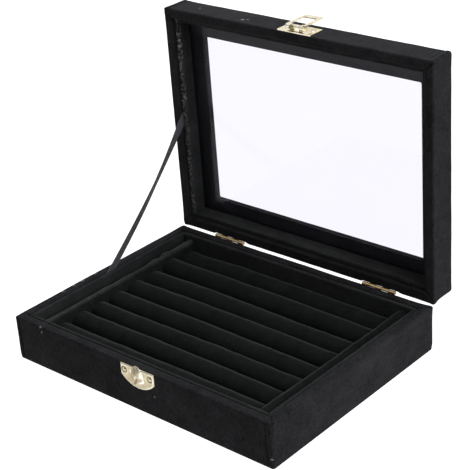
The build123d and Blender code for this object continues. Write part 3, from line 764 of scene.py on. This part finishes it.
# the side against the boards
prof.append(((-95.0, 95.0, -70.0, 70.0, 1.2), ZG + 0.54))
prof.append(((WIN[0] - 3, WIN[1] + 3, WIN[2] - 3, WIN[3] + 3, 1.0), ZG + 0.54))
wi = (WIN[0] - 0.54, WIN[1] + 0.54, WIN[2] - 0.54, WIN[3] + 0.54, 0.9)
prof.append((wi, ZG + 0.54))
prof.append((wi, ZT - 0.54))
prof.append((lerp_rect(wi, inset(0.66, 0.6), 0.5), ZT - 0.54))
prof.append((inset(0.66, 0.6), ZT - 0.54))
prof.append((inset(0.66, 0.6), ZT - 9.0))
prof.append((inset(0.66, 0.6), Z0 + 0.66))
prof.append((inset(4.84, 0.5), Z0 + 0.66))
prof.append((inset(4.84, 0.5), Z0 + 9.0))
v, f, ns = ring_sweep(prof)
nrm = normals_of(v, f)
row = 30
if (nrm[ns * row:ns * (row + 1), :2] * v[ns * row:ns * (row + 1), :2]).sum(1).mean() < 0:
    f = [q[::-1] for q in f]
    nrm = -nrm
k = ns * n_outer
vo_, zz = v[:k], v[:k, 2]
disp = 0.16 + 0.15 * fnoise(vo_, 31.0, 4.0) + 0.09 * fnoise(vo_, 8.0, 5.0) + 0.03 * fnoise(vo_, 2.5, 6.0)
fold, crease = pleats(vo_, Z0, -1, H_LID, (0.25, 0.30, 0.28, 0.20))
disp += fold
disp = np.maximum(disp, -0.30)
rowi = np.repeat(np.arange(n_outer), ns)
under = rowi >= n_outer - 6
disp[under] *= 0.0
disp[(rowi >= n_side + 10) & ~under] *= 0.45
disp[rowi < 8] *= 0.45
v[:k] += nrm[:k] * disp[:, None]
# the covering hangs fuller along the hinge edge, between and beside the hinges
clear_of = np.ones(k)
for hx in (-58.8, 60.6):
    clear_of *= np.clip((np.abs(vo_[:, 0] - hx) - 12.3) / 2.0, 0, 1)
full = clear_of * np.clip((vo_[:, 1] - 73.0) / 1.0, 0, 1) * np.exp(-((zz - Z0 - 1.2) / 3.0) ** 2)
v[:k, 1] += 1.0 * full
over = (Z0 + 0.12) - v[:k, 2]
v[:k, 2] = np.where(over > 0, Z0 + 0.12 - 0.30 * (1 - np.exp(-np.maximum(over, 0) / 0.30)), v[:k, 2])
lid_cover = give(add_object("lid_velvet_cover", v, f, lid=True), M_OUT)
paint(lid_cover, "crease", np.concatenate([crease, np.zeros(len(v) - k)]))
# painted light: the rows under the glass are made paler, most along the window's front edge
glass_strip_light = np.where(under, 0.55 + 0.45 * np.clip((-54.5 - vo_[:, 1]) / 1.0, 0, 1), 0.0)
paint(lid_cover, "painted_light_behind_glass", np.concatenate([glass_strip_light, np.zeros(len(v) - k)]))
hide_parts("lid_velvet_wrap")
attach(lid_cover, "lid")

# --------------------------------------------------------------------------- liners
ly0, ly1, lx0, lx1 = 66.5, 69.0, 91.5, 94.0
zl0, zl1 = 3.5, 28.6
liner_specs = [
    ("base_liner_cover_left", "base_liner_left", (-lx1, -ly1, zl0), (-lx0, ly1, zl1), 1.0, 11),
    ("base_liner_cover_right", "base_liner_right", (lx0, -ly1, zl0), (lx1, ly1, zl1), 1.0, 12),
    ("base_liner_cover_front", "base_liner_front", (-lx0 + .05, -ly1, zl0), (lx0 - .05, -ly0, zl1), 1.0, 13),
    ("base_liner_cover_back", "base_liner_back", (-lx0 + .05, ly0, zl0), (lx0 - .05, ly1, zl1), 1.0, 14),
]
for nm, node, lo, hi, r, sd in liner_specs:
    # painted light: the base's back liner takes the paler lid-liner copy of the velvet
    ob = give(soft_block(nm, lo, hi, r, lid=False, seed=sd, wave=0.16), M_LIN_LID if nm.endswith("back") else M_LIN)
    paint(ob, "glue", np.zeros(len(ob.data.vertices)))
    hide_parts(node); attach(ob, "base")

lz0, lz1 = Z0 + 2.5, ZG - 1.9
lid_liner_specs = [
    ("lid_liner_cover_left", "lid_liner_left", (-lx1, -ly1, lz0), (-lx0, ly1, lz1), 21),
    ("lid_liner_cover_right", "lid_liner_right", (lx0, -ly1, lz0), (lx1, ly1, lz1), 22),
    ("lid_liner_cover_front", "lid_liner_front", (-lx0 + .05, -ly1, lz0), (lx0 - .05, -ly0, lz1), 23),
    ("lid_liner_cover_back", "lid_liner_back", (-lx0 + .05, ly0, lz0), (lx0 - .05, ly1, lz1), 24),
]
for nm, node, lo, hi, sd in lid_liner_specs:
    ob = give(soft_block(nm, lo, hi, 0.45, lid=True, seed=sd, wave=0.14, fine=0.25), M_LIN_LID)
    line = np.zeros(len(ob.data.vertices))
    if nm.endswith("left"):
        # a line of dried glue along its rim edge; in the open lid that edge faces the front
        co = np.array([q.co for q in ob.data.vertices]) * 1000.0
        depth_in = co[:, 1] - co[:, 1].min()
        line = np.exp(-(depth_in / 1.6) ** 2) * (0.35 + 0.65 * np.clip(0.5 + 1.4 * fnoise(co, 11.0, 4.0), 0, 1))
    paint(ob, "glue", line)
    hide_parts(node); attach(ob, "lid")

# ------------------------------------------------------------------------------ pad
pad = give(soft_block("insert_pad_cover", (-lx0 + 0.25, -ly0 + 0.25, zl0 + 0.02), (lx0 - 0.25, ly0 - 0.25, PAD_TOP), 1.2,
                      coarse=5.0, seed=31, wave=0.1, lump=40), M_PAD)
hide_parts("insert_pad"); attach(pad, "base")

# ----------------------------------------------------------------------------- felt
ft = give(soft_block("base_underside_felt_sheet", (-98, -73, 0.02), (98, 73, T_FELT - 0.02), 0.17, fine=0.12, coarse=4.0,
                     seed=33, wave=0.02, lump=15, grain=0.01), M_FELT)
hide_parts("base_underside_felt"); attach(ft, "base")

# ---------------------------------------------------------------------------- rolls
# Each roll is simulated ten times life size as a cloth sleeve blown up against its bounds, then scaled back.
K = 10.0


def roll_mesh(half_len, a, b, top, seed, n_len, n_ring, power):
    """closed roll along X in mm, centred on the origin in x and y, flat below where it lies on the pad"""
    zc = top - b
    rows = []
    ends = np.array([0.0, 0.3, 0.75, 1.4, 2.3, 3.5])
    xs = np.concatenate([-half_len + ends, np.linspace(-half_len + 5.0, half_len - 5.0, n_len - 12), (half_len - ends)[::-1]])
    for x in xs:
        e = (half_len - abs(x)) / 1.1
        s = 1.0 if e >= 1 else math.sqrt(max(0.0, 1 - (1 - e) ** 2)) * 0.02 + 0.98
        ring = []
        for j in range(n_ring):
            g = 2 * math.pi * j / n_ring
            c, sn = math.cos(g), math.sin(g)
            p = power if sn > 0 else 1.0
            y = a * s * 0.955 * math.copysign(abs(c) ** p, c)
            z = b * (0.4 + 0.6 * s) * 0.955 * math.copysign(abs(sn) ** p, sn)
            w = 1 + 0.030 * noise.noise(Vector((x / 9.0, g * 0.9, seed * 3.1))) + 0.022 * noise.noise(Vector((x / 26.0, g * 0.5, seed * 5.7)))
            z = zc + z * w
            y = y * w
            ring.append((x, y, max(z, PAD_TOP + 0.05)))
        rows.append(ring)
    v = np.array(rows).reshape(-1, 3)
    faces = []
    for i in range(n_len - 1):
        for j in range(n_ring):
            m = (j + 1) % n_ring
            faces.append((i * n_ring + j, (i + 1) * n_ring + j, (i + 1) * n_ring + m, i * n_ring + m))
    base = len(v)
    caps = []
    # end caps: two smaller rings and a middle point at each end
    for end, i0 in ((0, 0), (1, (n_len - 1) * n_ring)):
        sgn = -1 if end == 0 else 1
        ring0 = v[i0:i0 + n_ring]
        c = ring0.mean(0)
        prev = [i0 + j for j in range(n_ring)]
        for s in (0.66, 0.33):
            ids = []
            for j in range(n_ring):
                p = c + (ring0[j] - c) * s
                p[0] = ring0[j][0] + sgn * 0.25 * (1 - s)
                caps.append(p); ids.append(base + len(caps) - 1)
            for j in range(n_ring):
                m = (j + 1) % n_ring
                q = (prev[j], prev[m], ids[m], ids[j])
                faces.append(q if end == 1 else q[::-1])
            prev = ids
        c2 = c.copy(); c2[0] += sgn * 0.2
        caps.append(c2); ci = base + len(caps) - 1
        for j in range(n_ring):
            m = (j + 1) % n_ring
            q = (prev[j], prev[m], ci)
            faces.append(q if end == 1 else q[::-1])
    v = np.concatenate([v, np.array(caps)])
    return v, faces


roll_specs = []
for i in range(8):
    y0, y1 = ROLL_EDGES[i], ROLL_EDGES[i + 1]
    roll_specs.append(dict(name="ring_roll_%d" % (i + 1), nodes=("ring_roll_sleeve_%d" % (i + 1), "ring_roll_core_%d" % (i + 1)),
                           half=77.0, a=(y1 - y0) / 2 - 0.05, b=7.5, top=ROLL_TOP - 0.8, at=(0, (y0 + y1) / 2, 0), turn=False, seed=i + 1.0,
                           n_len=84, n_ring=30, power=0.90))
for nm, s in (("left", -1), ("right", 1)):
    roll_specs.append(dict(name="side_roll_" + nm, nodes=("side_roll_sleeve_" + nm, "side_roll_core_" + nm),
                           half=66.0, a=(91.3 - 77.45) / 2 - 0.05, b=8.9, top=SIDE_TOP, at=(s * (77.45 + 91.3) / 2, 0, 0), turn=True,
                           seed=20.0 + s, n_len=74, n_ring=30, power=1.15))

for sp in roll_specs:
    sp["v0"], sp["f"] = roll_mesh(sp["half"], sp["a"], sp["b"], sp["top"], sp["seed"], sp["n_len"], sp["n_ring"], sp["power"])
    n0 = normals_of(sp["v0"], sp["f"])
    if (n0 * (sp["v0"] - np.array([0, 0, sp["top"] - sp["b"]]))).sum(1).mean() < 0:
        sp["f"] = [q[::-1] for q in sp["f"]]

sims = []
for i, sp in enumerate(roll_specs):
    me = bpy.data.meshes.new("sim")
    me.from_pydata((sp["v0"] * 0.001 * K + np.array([0, 0.6 * i, 0])).tolist(), [], [tuple(q) for q in sp["f"]])
    me.update()
    ob = bpy.data.objects.new("sim_%d" % i, me)
    COL.objects.link(ob)
    pin = ob.vertex_groups.new(name="pin")
    low = [int(j) for j in np.where(sp["v0"][:, 2] < PAD_TOP + 0.06)[0]]
    pin.add(low, 1.0, "REPLACE")
    cl = ob.modifiers.new("cloth", "CLOTH")
    s = cl.settings
    s.quality = 6
    s.mass = 0.25
    s.tension_stiffness = s.compression_stiffness = 22
    s.shear_stiffness = 12
    s.bending_stiffness = 1.2
    s.use_pressure = True
    s.uniform_pressure_force = 4.0
    s.vertex_group_mass = "pin"
    s.effector_weights.gravity = 0.0
    cl.collision_settings.use_collision = False
    cl.collision_settings.use_self_collision = False
    cl.point_cache.frame_start, cl.point_cache.frame_end = 1, 20
    sims.append(ob)
for fr in range(1, 21):
    SCENE.frame_set(fr)
dg = bpy.context.evaluated_depsgraph_get()
for i, (sp, ob) in enumerate(zip(roll_specs, sims)):
    ev = ob.evaluated_get(dg)
    co = np.empty(len(sp["v0"]) * 3)
    ev.data.vertices.foreach_get("co", co)
    moved = (co.reshape(-1, 3) - np.array([0, 0.6 * i, 0])) / (0.001 * K)
    d = moved - sp["v0"]
    ln = np.linalg.norm(d, axis=1, keepdims=True)
    cap = 0.8
    ease = np.clip((sp["half"] - np.abs(sp["v0"][:, :1])) / 6.0, 0.15, 1.0)
    sp["v1"] = sp["v0"] + d * np.minimum(1.0, cap / np.maximum(ln, 1e-9)) * ease
    sp["sim"] = float(ln.mean()), float(ln.max())
    me = ob.data
    bpy.data.objects.remove(ob)
    bpy.data.meshes.remove(me)
SCENE.frame_set(1)
print("cloth moved, mm:", [tuple(round(x, 2) for x in sp["sim"]) for sp in roll_specs])


def subdivide(v, faces, levels=1):
    me = bpy.data.meshes.new("tmp")
    me.from_pydata(v.tolist(), [], [tuple(q) for q in faces])
    ob = bpy.data.objects.new("tmp", me)
    COL.objects.link(ob)
    m = ob.modifiers.new("s", "SUBSURF")
    m.levels = m.render_levels = levels
    ev = ob.evaluated_get(bpy.context.evaluated_depsgraph_get())
    out = ev.to_mesh()
    co = np.empty(len(out.vertices) * 3)
    out.vertices.foreach_get("co", co)
    fs = [tuple(p.vertices) for p in out.polygons]
    ev.to_mesh_clear()
    bpy.data.objects.remove(ob)
    bpy.data.meshes.remove(me)
    return co.reshape(-1, 3), fs


LEVELS = np.arange(8.5, 27.0, 0.5)
SIDE_FACE = np.zeros(len(LEVELS))      # half width of the side rolls at each level
SLIM = 0.62                            # the ring rolls push the left side roll's face in under its crest
SINK = [(-1.5, -1.2, -1.0, -0.5, -0.9, -1.5), (-0.9, -0.6, -0.5, -0.7, -1.3, -2.1), (-1.3, -1.2, -0.9, -0.7, -0.9, -1.4),
        (-1.1, -0.7, -0.7, -1.1, -1.6, -2.0), (-0.5, 0.1, 0.0, 0.0, -0.5, -1.0), (-1.2, -0.5, -0.9, -1.6, -2.2, -2.3),
        (0.8, 0.9, 0.7, 0.5, 0.0, -0.6), (-1.7, -0.4, -0.7, -0.9, -1.6, -2.0)]
for sp in sorted(roll_specs, key=lambda q: not q["turn"]):
    v = sp["v1"].copy()
    # filled out to its full height and width
    z_mid = sp["top"] - sp["b"]
    long_ = np.abs(v[:, 0]) < sp["half"] - 8.0
    tall = float(np.percentile(v[long_, 2], 97)) - z_mid
    wide = float(np.percentile(np.abs(v[long_, 1]), 97))
    v[:, 2] = np.where(v[:, 2] > z_mid, z_mid + (v[:, 2] - z_mid) * sp["b"] * 0.985 / tall, v[:, 2])
    v[:, 1] *= sp["a"] * 0.985 / wide
    # and packed as full at its ends as in the middle
    nl, nr_ = sp["n_len"], sp["n_ring"]
    body = v[:nl * nr_].reshape(nl, nr_, 3)
    tall_, wide_ = body[:, :, 2].max(1) - z_mid, np.abs(body[:, :, 1]).max(1)
    out_x = np.abs(body[:, :, 0]).mean(1) - (sp["half"] - 8.0)
    w_end = np.clip(out_x / 2.5, 0, 1)
    up_ = 1 + w_end * (np.maximum(np.median(tall_[out_x < 0]) * 0.99 / tall_, 1.0) - 1)
    wd_ = 1 + w_end * (np.maximum(np.median(wide_[out_x < 0]) * 0.99 / wide_, 1.0) - 1)
    cap_n = 2 * nr_ + 1
    up_v = np.concatenate([np.repeat(up_, nr_), np.full(cap_n, up_[0]), np.full(cap_n, up_[-1])])
    wd_v = np.concatenate([np.repeat(wd_, nr_), np.full(cap_n, wd_[0]), np.full(cap_n, wd_[-1])])
    v[:, 2] = np.where(v[:, 2] > z_mid, z_mid + (v[:, 2] - z_mid) * up_v, v[:, 2])
    v[:, 1] *= wd_v
    # against its neighbours, the pad and the crest height of the row
    lim = sp["a"] - 0.02
    y = v[:, 1]
    v[:, 1] = np.sign(y) * np.where(np.abs(y) > lim * 0.9, lim * 0.9 + lim * 0.1 * np.tanh((np.abs(y) - lim * 0.9) / (lim * 0.1)), np.abs(y))
    v[:, 2] = np.maximum(v[:, 2], PAD_TOP + 0.05)
    v[:, 2] = np.minimum(v[:, 2], sp["top"] + 0.35)
    v[:, 0] = np.clip(v[:, 0], -sp["half"] - 0.12, sp["half"] + 0.12)
    vs, fs = subdivide(v, sp["f"], 1)
    n = normals_of(vs, fs)
    ends = np.clip((np.abs(vs[:, 0]) - (sp["half"] - 7.0)) / 7.0, 0, 1)
    ang = np.arctan2(vs[:, 2] - (sp["top"] - sp["b"]), vs[:, 1])
    tuck = -0.22 * ends * (0.5 + 0.5 * np.sin(ang * 7.0 + sp["seed"] * 2.0)) * (vs[:, 2] > PAD_TOP + 1.5)
    fine = 0.06 * fnoise(vs, 3.2, sp["seed"]) + 0.10 * fnoise(vs, 11.0, sp["seed"] + 3)
    if sp["name"] == "side_roll_left":
        # bunched cloth towards its far end
        for along, across, ra, rc, h in ((43.0, 2.4, 3.6, 2.4, 1.1), (31.5, 1.8, 3.0, 2.2, 0.9), (37.0, 3.2, 1.5, 2.2, -0.5),
                                         (59.0, -4.0, 5.0, 3.0, 0.9)):
            fine += h * np.exp(-((vs[:, 0] - along) / ra) ** 2 - ((vs[:, 1] - across) / rc) ** 2) * (vs[:, 2] > 16.0)
    fine[vs[:, 2] < PAD_TOP + 0.4] = 0
    vs = vs + n * (tuck + fine)[:, None]
    if not sp["turn"]:
        # no two rolls stand equally high, and most sink towards their ends
        low = np.interp(vs[:, 0], (-70, -40, -10, 20, 50, 72), SINK[int(sp["seed"]) - 1])
        vs[:, 2] = PAD_TOP + 0.05 + (vs[:, 2] - PAD_TOP - 0.05) * (1 + low / 14.5)
        low = np.interp(v[:, 0], (-70, -40, -10, 20, 50, 72), SINK[int(sp["seed"]) - 1])
        v[:, 2] = PAD_TOP + 0.05 + (v[:, 2] - PAD_TOP - 0.05) * (1 + low / 14.5)
    # the inside of the sleeve, and the foam core in it
    zc_ = sp["top"] - sp["b"]

    def shrink(t):
        q = v.copy()
        q[:, 0] *= 1 - t / sp["half"]
        q[:, 1] *= 1 - t / sp["a"]
        q[:, 2] = np.maximum(zc_ + (q[:, 2] - zc_) * (1 - t / sp["b"]), PAD_TOP + 0.05 + t)
        return q

    inner_v, core_v = shrink(0.62), shrink(0.76)
    if sp["turn"]:
        mid_ = np.abs(vs[:, 0]) < 58.0
        for i_, lv in enumerate(LEVELS):
            at_lv = mid_ & (np.abs(vs[:, 2] - lv) < 0.45)
            SIDE_FACE[i_] = max(SIDE_FACE[i_], float(np.median(np.abs(vs[at_lv, 1])))) if at_lv.sum() > 20 else 0.0
        if sp["name"] == "side_roll_left":
            for q in (vs, inner_v, core_v):
                q[:, 1] = np.where(q[:, 1] < 0, q[:, 1] * SLIM, q[:, 1])
    else:
        # the ends are pressed against the rounding of the side rolls
        for q in (vs, inner_v, core_v):
            face_ = np.interp(q[:, 2], LEVELS, SIDE_FACE)
            right_ = np.where(q[:, 2] < 16.4, 77.6, np.clip(84.375 - face_ + 0.8, 77.6, 82.0))
            left_ = np.where(q[:, 2] < 16.4, 80.2, np.clip(84.375 - face_ * SLIM + 0.5, 80.2, 80.8))
            reach = np.where(q[:, 0] < 0, left_, right_)
            far_x = np.clip((np.abs(q[:, 0]) - 60.0) / (sp["half"] - 60.0), 0, None)
            q[:, 0] += np.sign(q[:, 0]) * far_x * (reach - sp["half"])
    allv = np.concatenate([vs, inner_v])
    allf = list(fs) + [tuple(i + len(vs) for i in q[::-1]) for q in sp["f"]]

    def place(p):
        p = p.copy()
        if sp["turn"]:
            p = np.column_stack([-p[:, 1], p[:, 0], p[:, 2]])
        return p + np.array(sp["at"])

    # the left side roll takes the paler, painted-light copy of the roll velvet
    sl = give(add_object(sp["name"] + "_velvet", place(allv), allf), M_SIDE if sp["name"] == "side_roll_left" else M_ROLL)
    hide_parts(sp["nodes"][0]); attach(sl, "base")
    cr = give(add_object(sp["name"] + "_foam", place(core_v), sp["f"]), M_FOAM)
    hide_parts(sp["nodes"][1]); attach(cr, "base")

# --------------------------------------------------------------------- ribbon stay
RB_X = -94.25
p0 = np.array([2.0, H_BASE]); p1 = np.array([AX_Y, 103.6])
ln = float(np.linalg.norm(p1 - p0)); u = (p1 - p0) / ln; wv = np.array([-u[1], u[0]])
S0, S1 = -19.0, ln + 12.0
ss = np.arange(S0, S1 + 0.01, 1.0)
SAG = 2.6
TWIST = [(-4.0, 0.0), (2.0, 9.0), (20.0, 11.0), (42.0, 16.0), (62.0, 23.5), (77.0, 19.0), (90.0, 11.0), (ln - 3.0, 0.0)]
verts, faces, uvs = [], [], []
NW = 8
for s in ss:
    t = min(max(s / ln, 0.0), 1.0)
    tw = math.radians(float(np.interp(s, [q[0] for q in TWIST], [q[1] for q in TWIST])))
    c = p0 + u * s - wv * SAG * math.sin(math.pi * t)
    for side_ in (1, -1):
        for k_ in range(NW + 1):
            a = -3.0 + 6.0 * k_ / NW
            h = side_ * (0.19 if 0 < k_ < NW else 0.12)
            off = a * math.cos(tw) - h * math.sin(tw)
            xo = a * math.sin(tw) + h * math.cos(tw)
            y, z = c + wv * off
            verts.append((RB_X + xo, y, z))
            uvs.append((k_ / NW, s / 6.0))
R = 2 * (NW + 1)
ringi = list(range(NW + 1)) + [NW + 1 + i for i in range(NW, -1, -1)]
for i in range(len(ss) - 1):
    for j in range(R):
        m_ = (j + 1) % R
        faces.append((i * R + ringi[j], i * R + ringi[m_], (i + 1) * R + ringi[m_], (i + 1) * R + ringi[j]))
for i, rev in ((0, True), (len(ss) - 1, False)):
    for j in range(NW):
        q = (i * R + j, i * R + j + 1, i * R + NW + 2 + j, i * R + NW + 1 + j)
        faces.append(q if rev else q[::-1])
rb = give(add_object("ribbon_stay_satin", verts, faces), M_RIB)
uvl = rb.data.uv_layers.new(name="UVMap")
for lp in rb.data.loops:
    uvl.data[lp.index].uv = uvs[lp.vertex_index]
import bmesh
bm = bmesh.new(); bm.from_mesh(rb.data); bmesh.ops.recalc_face_normals(bm, faces=bm.faces); bm.to_mesh(rb.data); bm.free()
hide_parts("ribbon_stay")
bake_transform(rb)

# --------------------------------------------------------------------- catch plate
# Half-moon plate stamped from sheet: a bead round its edge, dished rings round the nails and a drop-shaped nose.
def closed_sheet(front, back):
    """closed mesh from two equal grids of points (rows, columns, 3)"""
    nr, nc = front.shape[:2]
    v = np.concatenate([front.reshape(-1, 3), back.reshape(-1, 3)])
    o = nr * nc
    fs = []
    for i in range(nr - 1):
        for j in range(nc - 1):
            q = (i * nc + j, i * nc + j + 1, (i + 1) * nc + j + 1, (i + 1) * nc + j)
            fs.append(q)
            fs.append(tuple(o + k for k in q[::-1]))
    rim = ([(0, j) for j in range(nc)] + [(i, nc - 1) for i in range(1, nr)] + [(nr - 1, j) for j in range(nc - 2, -1, -1)]
           + [(i, 0) for i in range(nr - 2, 0, -1)])
    for a, b in zip(rim, rim[1:] + rim[:1]):
        ia, ib = a[0] * nc + a[1], b[0] * nc + b[1]
        fs.append((ib, ia, o + ia, o + ib))
    return v, fs


def catch_heights(s, z, e):
    """how far the front of the plate stands out, and a map of wear and tarnish with painted highlights, painted
    reflection and painted shade in it
    """
    h = 0.68 - 0.30 * (1 - np.clip(e / 0.40, 0, 1)) ** 2
    bead = np.exp(-((e - 0.80) / 0.34) ** 2)
    h = h + 0.20 * bead
    dull_and_painted_light = 0.18 * np.clip(e / 1.6, 0, 1) - 0.6 * bead
    for sn in (-9.9, 9.9):
        r = np.hypot(s - sn, (z - 24.8))
        h = h - 0.10 * np.exp(-(r / 1.5) ** 4) + 0.16 * np.exp(-((r - 2.25) / 0.40) ** 2) - 0.09 * np.exp(-((r - 1.62) / 0.30) ** 2)
        dull_and_painted_light = dull_and_painted_light + 1.15 * np.exp(-((r - 1.85) / 0.42) ** 2) - 0.45 * np.exp(-((r - 2.6) / 0.35) ** 2)
    # nose: widest at z 25, drawn in to a foot at the bottom
    up_ = z >= 25.0
    hw = np.where(up_, 4.1 * np.sqrt(np.clip(1 - ((z - 25.0) / 5.2) ** 2, 0, 1)),
                  1.3 + 2.8 * np.clip((z - 19.6) / 5.4, 0, 1) ** 0.75)
    low = np.clip((z - 19.0) / 1.4, 0, 1)
    dome = (0.75 + 1.60 * np.clip((z - 19.6) / 5.0, 0, 1) ** 0.8) * np.where(up_, np.clip(1 - ((z - 25.0) / 5.25) ** 2, 0, 1) ** 0.55, 1.0)
    shape = np.clip(1 - (np.abs(s) / np.maximum(hw, 0.05)) ** 2.6, 0, 1) ** 0.62
    nose = dome * shape * low
    # dent along its right side and a fold at its foot
    nose = nose - 0.35 * np.exp(-((s - 1.6) / 0.8) ** 2 - ((z - 22.4) / 1.8) ** 2) * (shape > 0)
    around = np.exp(-((np.abs(s) - hw - 0.45) / 0.35) ** 2) * (z < 28.3)
    foot = np.exp(-((np.hypot(s, (z - 21.0) * 0.75) - 2.5) / 0.40) ** 2) * (z < 21.5)
    h = h + nose - 0.16 * around - 0.18 * foot
    # tan in the groove round the nose; painted reflection, tan, over the nose's top and below it to the left; painted
    # highlights on the nose's shoulder, down its right side, across its face and to its left; painted shade along the
    # diagonal groove
    dull_and_painted_light = dull_and_painted_light + 0.20 * around + 0.75 * np.exp(-((s + 0.4) / 2.5) ** 2 - ((z - 27.0) / 2.1) ** 2)
    dull_and_painted_light = dull_and_painted_light + 0.55 * np.exp(-(np.hypot(s + 4.2, z - 22.0) / 1.9) ** 2) - 1.6 * np.exp(-(np.hypot(s + 4.5, z - 25.0) / 1.0) ** 2)
    for (s0, z0), (s1, z1), wd_, am in (((0.8, 29.2), (3.4, 27.3), 0.45, -1.0), ((3.5, 26.5), (3.8, 23.8), 0.75, -1.1),
                                        ((3.8, 23.8), (4.1, 21.0), 0.75, -1.1), ((4.1, 21.0), (1.6, 19.3), 0.75, -1.1),
                                        ((0.8, 22.2), (-2.6, 17.9), 0.55, 1.8), ((0.9, 24.7), (-1.1, 21.5), 0.45, -0.7)):
        t = np.clip(((s - s0) * (s1 - s0) + (z - z0) * (z1 - z0)) / ((s1 - s0) ** 2 + (z1 - z0) ** 2), 0, 1)
        dull_and_painted_light = dull_and_painted_light + am * np.exp(-(np.hypot(s - s0 - t * (s1 - s0), z - z0 - t * (z1 - z0)) / wd_) ** 2)
    return h, dull_and_painted_light


ts = np.linspace(-1, 1, 141)
cs_ = 12.9 * np.sin(ts * math.pi / 2 * 0.86) / math.sin(math.pi / 2 * 0.86)
vsn = np.linspace(0, 1, 111)
vsn = 0.5 - 0.5 * np.cos(np.pi * (0.06 + 0.88 * vsn)); vsn = (vsn - vsn[0]) / (vsn[-1] - vsn[0])
S_, V_ = np.meshgrid(cs_, vsn)
corner = 0.4 - np.sqrt(np.clip(0.16 - np.clip(np.abs(S_) - 12.5, 0, 0.4) ** 2, 0, 1))
bot = 32.45 - np.sqrt(17.05 ** 2 - S_ ** 2) + corner
topz = np.where(np.abs(S_) < 3.03, 25.0 + 5.2 * np.sqrt(np.clip(1 - (S_ / 4.1) ** 2, 0, 1)), 28.5 - corner)
Z_ = bot + (topz - bot) * V_
flat_e = np.minimum(np.minimum(12.9 - np.abs(S_), np.hypot(S_, Z_ - 32.45) * -1 + 17.05), np.where(np.abs(S_) < 3.4, 9.0, 28.5 - Z_))
# where the nose rises past the plate, the edge is the nose's own
top_e = np.where(np.abs(S_) < 3.4, np.minimum((topz - Z_) + 0.0, 9.0), 9.0)
E_ = np.minimum(flat_e, 9.0)
H_, plate_dull_and_light = catch_heights(S_, Z_, E_)
over = np.clip((Z_ - 28.4) / 0.5, 0, 1) * (np.abs(S_) < 3.3)
H_ = np.where(over > 0, np.maximum(H_, 0.98), H_)
back_h = np.where(over > 0, 0.05 + 0.72 * over, 0.02)
front = np.stack([CL_X + S_, -75.0 - H_, Z_], -1)
back = np.stack([CL_X + S_, -75.0 - np.minimum(back_h, H_ - 0.1), Z_], -1)
cv, cf = closed_sheet(front, back)
cp = give(add_object("catch_plate_stamped", cv, cf), M_BRASS)
bm = bmesh.new(); bm.from_mesh(cp.data); bmesh.ops.recalc_face_normals(bm, faces=bm.faces); bm.to_mesh(cp.data); bm.free()
paint(cp, "dull_and_painted_light", np.concatenate([0.5 + 0.5 * plate_dull_and_light.ravel(), np.full(plate_dull_and_light.size, 0.65)]))
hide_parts("catch_plate"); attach(cp, "base")

# ---------------------------------------------------------------- floor and light
bpy.ops.mesh.primitive_plane_add(size=12.0, location=(0, 0, -0.0003))
floor = bpy.context.object
floor.name = "floor"
fm, nt, bs = new_mat("floor")
fn = noise_tex(nt, coords(nt), 3.0, 3.0)
nt.links.new(mix(nt, ramp(nt, fn, [(0.3, 0.0), (0.7, 1.0)]), (0.045, 0.045, 0.045), (0.055, 0.055, 0.055)), bs.inputs["Base Color"])
bs.inputs["Roughness"].default_value = 0.8
bs.inputs["Specular IOR Level"].default_value = 0.1
bs.inputs["Emission Color"].default_value = (1, 1, 1, 1)
bs.inputs["Emission Strength"].default_value = 1.175
give(floor, fm)
floor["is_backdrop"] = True

wd = bpy.data.worlds.new("studio")
SCENE.world = wd
wd.use_nodes = True
nt = wd.node_tree
nt.nodes.clear()
wo = nt.nodes.new("ShaderNodeOutputWorld")
bg = nt.nodes.new("ShaderNodeBackground")
nt.links.new(bg.outputs[0], wo.inputs[0])
tc = nt.nodes.new("ShaderNodeTexCoord")
dp = nt.nodes.new("ShaderNodeVectorMath"); dp.operation = "DOT_PRODUCT"
nt.links.new(tc.outputs["Generated"], dp.inputs[0])
dp.inputs[1].default_value = Vector((0.25, -0.85, 0.30)).normalized()
r = ramp(nt, math_node(nt, "MULTIPLY_ADD", dp.outputs["Value"], 0.5), [(0.55, (1.0, 1.0, 1.0)), (0.95, (0.30, 0.30, 0.31))])
nt.nodes[-2].inputs[2].default_value = 0.5
nt.links.new(r, bg.inputs["Color"])
bg.inputs["Strength"].default_value = 1.0


def area(name, loc, target, size, power, color=(1, 1, 1), size_y=None):
    d = bpy.data.lights.new(name, "AREA")
    d.shape = "RECTANGLE"
    d.size, d.size_y = size, size_y or size
    d.energy = power
    d.color = color
    ob = bpy.data.objects.new(name, d)
    ob.location = loc
    ob.rotation_euler = (Vector(target) - Vector(loc)).to_track_quat("-Z", "Y").to_euler()
    COL.objects.link(ob)
    return ob


area("key", (1.5, 0.1, 1.1), (0, 0, 0.05), 1.3, 46.5, (0.94, 0.96, 1.0))
area("top", (-0.2, 0.7, 1.9), (0, 0, 0.05), 1.6, 22.5)

SCENE.view_settings.view_transform = "Standard"
SCENE.view_settings.look = "None"
SCENE.view_settings.exposure = 0.0
SCENE.view_settings.gamma = 1.0

lo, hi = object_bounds()
